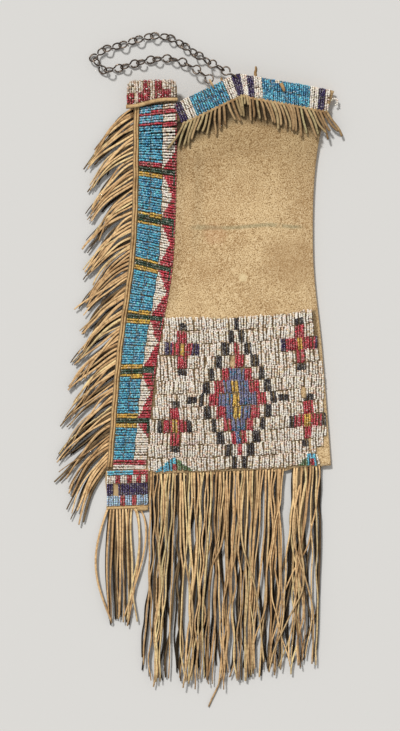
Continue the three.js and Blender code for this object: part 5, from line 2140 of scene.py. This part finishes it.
@dataclass(frozen=True)
class Chain:
    """The chain of bent wire: each link has two loops at right angles, and the last hangs in a hide tie.

    Attributes:
        wire: wire thickness.
        loop: radius of a loop along the wire's middle.
        spread: between the middles of a link's loops.
        gap: degrees left open at the end of each loop.
        links: number of links.
        sides: points round the wire.
    """

    wire: float = 1.6
    loop: float = 4.25
    spread: float = 10.25
    gap: float = 12.0
    links: int = 18
    sides: int = 10

    def path(self) -> tuple[Array, Array]:
        """Middle line of a link's wire in its own frame, with the normal of the plane it bends in.

        Returns:
            Points and normals. The first loop bends about Y, the flat loop about Z.
        """
        turn = np.radians(np.linspace(self.gap, 360 - self.gap, 34))
        out, aside = self.loop * np.cos(turn), self.loop * np.sin(turn)
        upright, level = stacked(out - self.spread, 0.0, aside), stacked(-out, aside, 0.0)
        points = np.concatenate([upright, level])
        share = ease(np.arange(len(points)), 28, 39)[:, None]
        normal = unit(mix((0.0, -1.0, 0.0), (0.0, 0.0, -1.0), share))
        for _ in range(2):
            inner = stacked(*(np.convolve(column, np.ones(3) / 3, "same") for column in points.T))
            points = np.concatenate([points[:1], inner[1:-1], points[-1:]])
        return points, normal

    def tube(self) -> tuple[Array, list[Array]]:
        """A link's wire as a round tube.

        Returns:
            Points in the link's own frame, and faces.
        """
        points, normal = self.path()
        ahead = unit(np.gradient(points, axis=0))
        side = unit(np.cross(normal, ahead))
        up = np.cross(ahead, side)
        angle = 2 * np.pi * np.arange(self.sides) / self.sides
        ring = np.cos(angle)[None, :, None] * side[:, None] + np.sin(angle)[None, :, None] * up[:, None]
        skin = points[:, None] + self.wire / 2 * ring
        ends = np.stack([np.arange(self.sides)[::-1], np.arange(self.sides) + (len(points) - 1) * self.sides])
        return skin.reshape(-1, 3), [grid_faces(len(points), self.sides, wrap=True), ends]

    @staticmethod
    def points_of(node: str) -> Array:
        """Points of a node in plan millimetres.

        Args:
            node: its name.

        Returns:
            Points.
        """
        mesh = frame["nodes"][node].data
        flat = np.empty(len(mesh.vertices) * 3, np.float32)
        mesh.vertices.foreach_get("co", flat)
        return flat.reshape(-1, 3).astype(float) / MM - np.array(LAYOUT.shift)

    def build(self) -> list[Thing]:
        """Sets a link in the place of each one of the part, and the tie.

        A link's own X is the long axis of its node, pointing along the chain; its Z is the normal of the flat
        loop, which is the direction in which the points of that half spread least.

        Returns:
            The objects.
        """
        skin, faces = self.tube()
        nodes = [f"chain_link_{i:02d}" for i in range(1, self.links + 1)]
        clouds = [self.points_of(node) for node in nodes]
        middles = np.array([c.mean(0) for c in clouds])
        ahead = np.gradient(middles, axis=0)
        things = []
        for node, cloud, middle, onward in zip(nodes, clouds, middles, ahead):
            x = np.linalg.svd(cloud - middle, full_matrices=False)[2][0]
            x = x * np.sign(x @ onward)
            reach = (cloud - middle) @ x
            origin = middle + x * ((reach.max() + reach.min()) / 2 + self.spread / 2)
            half = cloud[(cloud - origin) @ x > -self.loop / 2]
            normal = np.linalg.svd(half - half.mean(0), full_matrices=False)[2][2]
            y = unit(np.cross(normal * np.sign(normal[2]), x))
            points = origin + skin @ np.stack([x, y, np.cross(x, y)])
            name, body = node.replace("chain_link", "wire_link"), frame["nodes"][node]["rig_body"]
            things.append(Piece(name, points, faces, IRON, "chain_wire", [node], body).build())
        return [*things, self.tie()]

    def tie(self) -> Thing:
        """The ring of twisted thong that holds the last link.

        Returns:
            The object.
        """
        cloud = self.points_of("chain_tie")
        middle = (cloud.max(0) + cloud.min(0)) / 2
        first, second, _ = np.linalg.svd(cloud - cloud.mean(0), full_matrices=False)[2]
        around, sides, radius = 40, 10, 4.3
        turn, section = np.meshgrid(
            2 * np.pi * np.arange(around) / around, 2 * np.pi * np.arange(sides) / sides, indexing="ij"
        )
        out = np.cos(turn)[..., None] * first + np.sin(turn)[..., None] * second
        tube = 1.0 + 0.12 * np.cos(2 * (section + turn * 2))
        points = middle + (radius + tube * np.cos(section))[..., None] * out
        points = points + (tube * np.sin(section))[..., None] * np.cross(first, second)
        wrapped = grid_faces(around + 1, sides, wrap=True) % (around * sides)
        body = frame["nodes"]["chain_tie"]["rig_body"]
        return Piece("tie_thong", points.reshape(-1, 3), [wrapped], HIDE, "hide", ["chain_tie"], body).build()


# Studio


@dataclass(frozen=True)
class Studio:
    """A pale floor, soft light from the upper left and a camera straight above.

    Attributes:
        view: plan height of the picture in metres.
        above: camera height in metres.
        level: height in metres that is seen at that scale.
        middle: plan point in the middle of the picture.
        sky: strength of the even light.
        key: strength of the light from the upper left.
        floor: half the floor's width, and its height, in metres.
    """

    view: float = 0.731
    above: float = 2.6
    level: float = 0.008
    middle: tuple[float, float] = (-19.0, 100.5)
    sky: float = 0.4
    key: float = 2.4
    floor: tuple[float, float] = (20.0, -0.0004)

    def build(self) -> None:
        """Sets up floor, lights, camera and view."""
        size, height = self.floor
        corners = [(x * size, y * size, height) for x, y in ((-1, -1), (1, -1), (1, 1), (-1, 1))]
        mesh = bpy.data.meshes.new("floor")
        mesh.from_pydata(corners, [], [(0, 1, 2, 3)])
        mesh.materials.append(Plain().material())
        floor = bpy.data.objects.new("floor", mesh)
        bpy.context.scene.collection.objects.link(floor)
        floor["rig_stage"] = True
        self.light()
        camera = bpy.data.cameras.new("camera")
        camera.sensor_fit = "VERTICAL"
        camera.sensor_height = 24.0
        camera.lens = camera.sensor_height * (self.above - self.level) / self.view
        thing = bpy.data.objects.new("camera", camera)
        x, y, _ = LAYOUT.metres(np.array([*self.middle, 0.0]))
        thing.location = (float(x), float(y), self.above)
        bpy.context.scene.collection.objects.link(thing)
        bpy.context.scene.camera = thing
        bpy.context.scene.view_settings.view_transform = "Standard"

    def light(self) -> None:
        """Adds the even light and the key light."""
        world = bpy.data.worlds.new("sky")
        world.use_nodes = True
        background = world.node_tree.nodes["Background"]
        background.inputs["Color"].default_value = (1.0, 1.0, 1.0, 1.0)
        background.inputs["Strength"].default_value = self.sky
        bpy.context.scene.world = world
        sun = bpy.data.lights.new("key", "SUN")
        sun.energy = self.key
        sun.angle = math.radians(8)
        lamp = bpy.data.objects.new("key", sun)
        lamp.rotation_euler = (math.radians(-34), math.radians(-24), 0.0)
        bpy.context.scene.collection.objects.link(lamp)


def main() -> None:
    """Builds the bag and the studio."""
    logging.basicConfig(level=logging.INFO, format="%(name)s %(message)s")
    pouch = Pouch().build()
    trim = [part().build() for part in (Welt, SideFringe, BottomFringe, TailFringe, MouthFringe)]
    for part in (Panel, Strip, MouthBand, Tail, Flap, LooseBeads, Thongs, Chain, Studio):
        part().build()
    sizes = {"cad": CAD_BOUNDS, "visual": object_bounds()}
    plain = {key: [list(map(float, corner)) for corner in box] for key, box in sizes.items()}


if __name__ == "__main__":
    main()
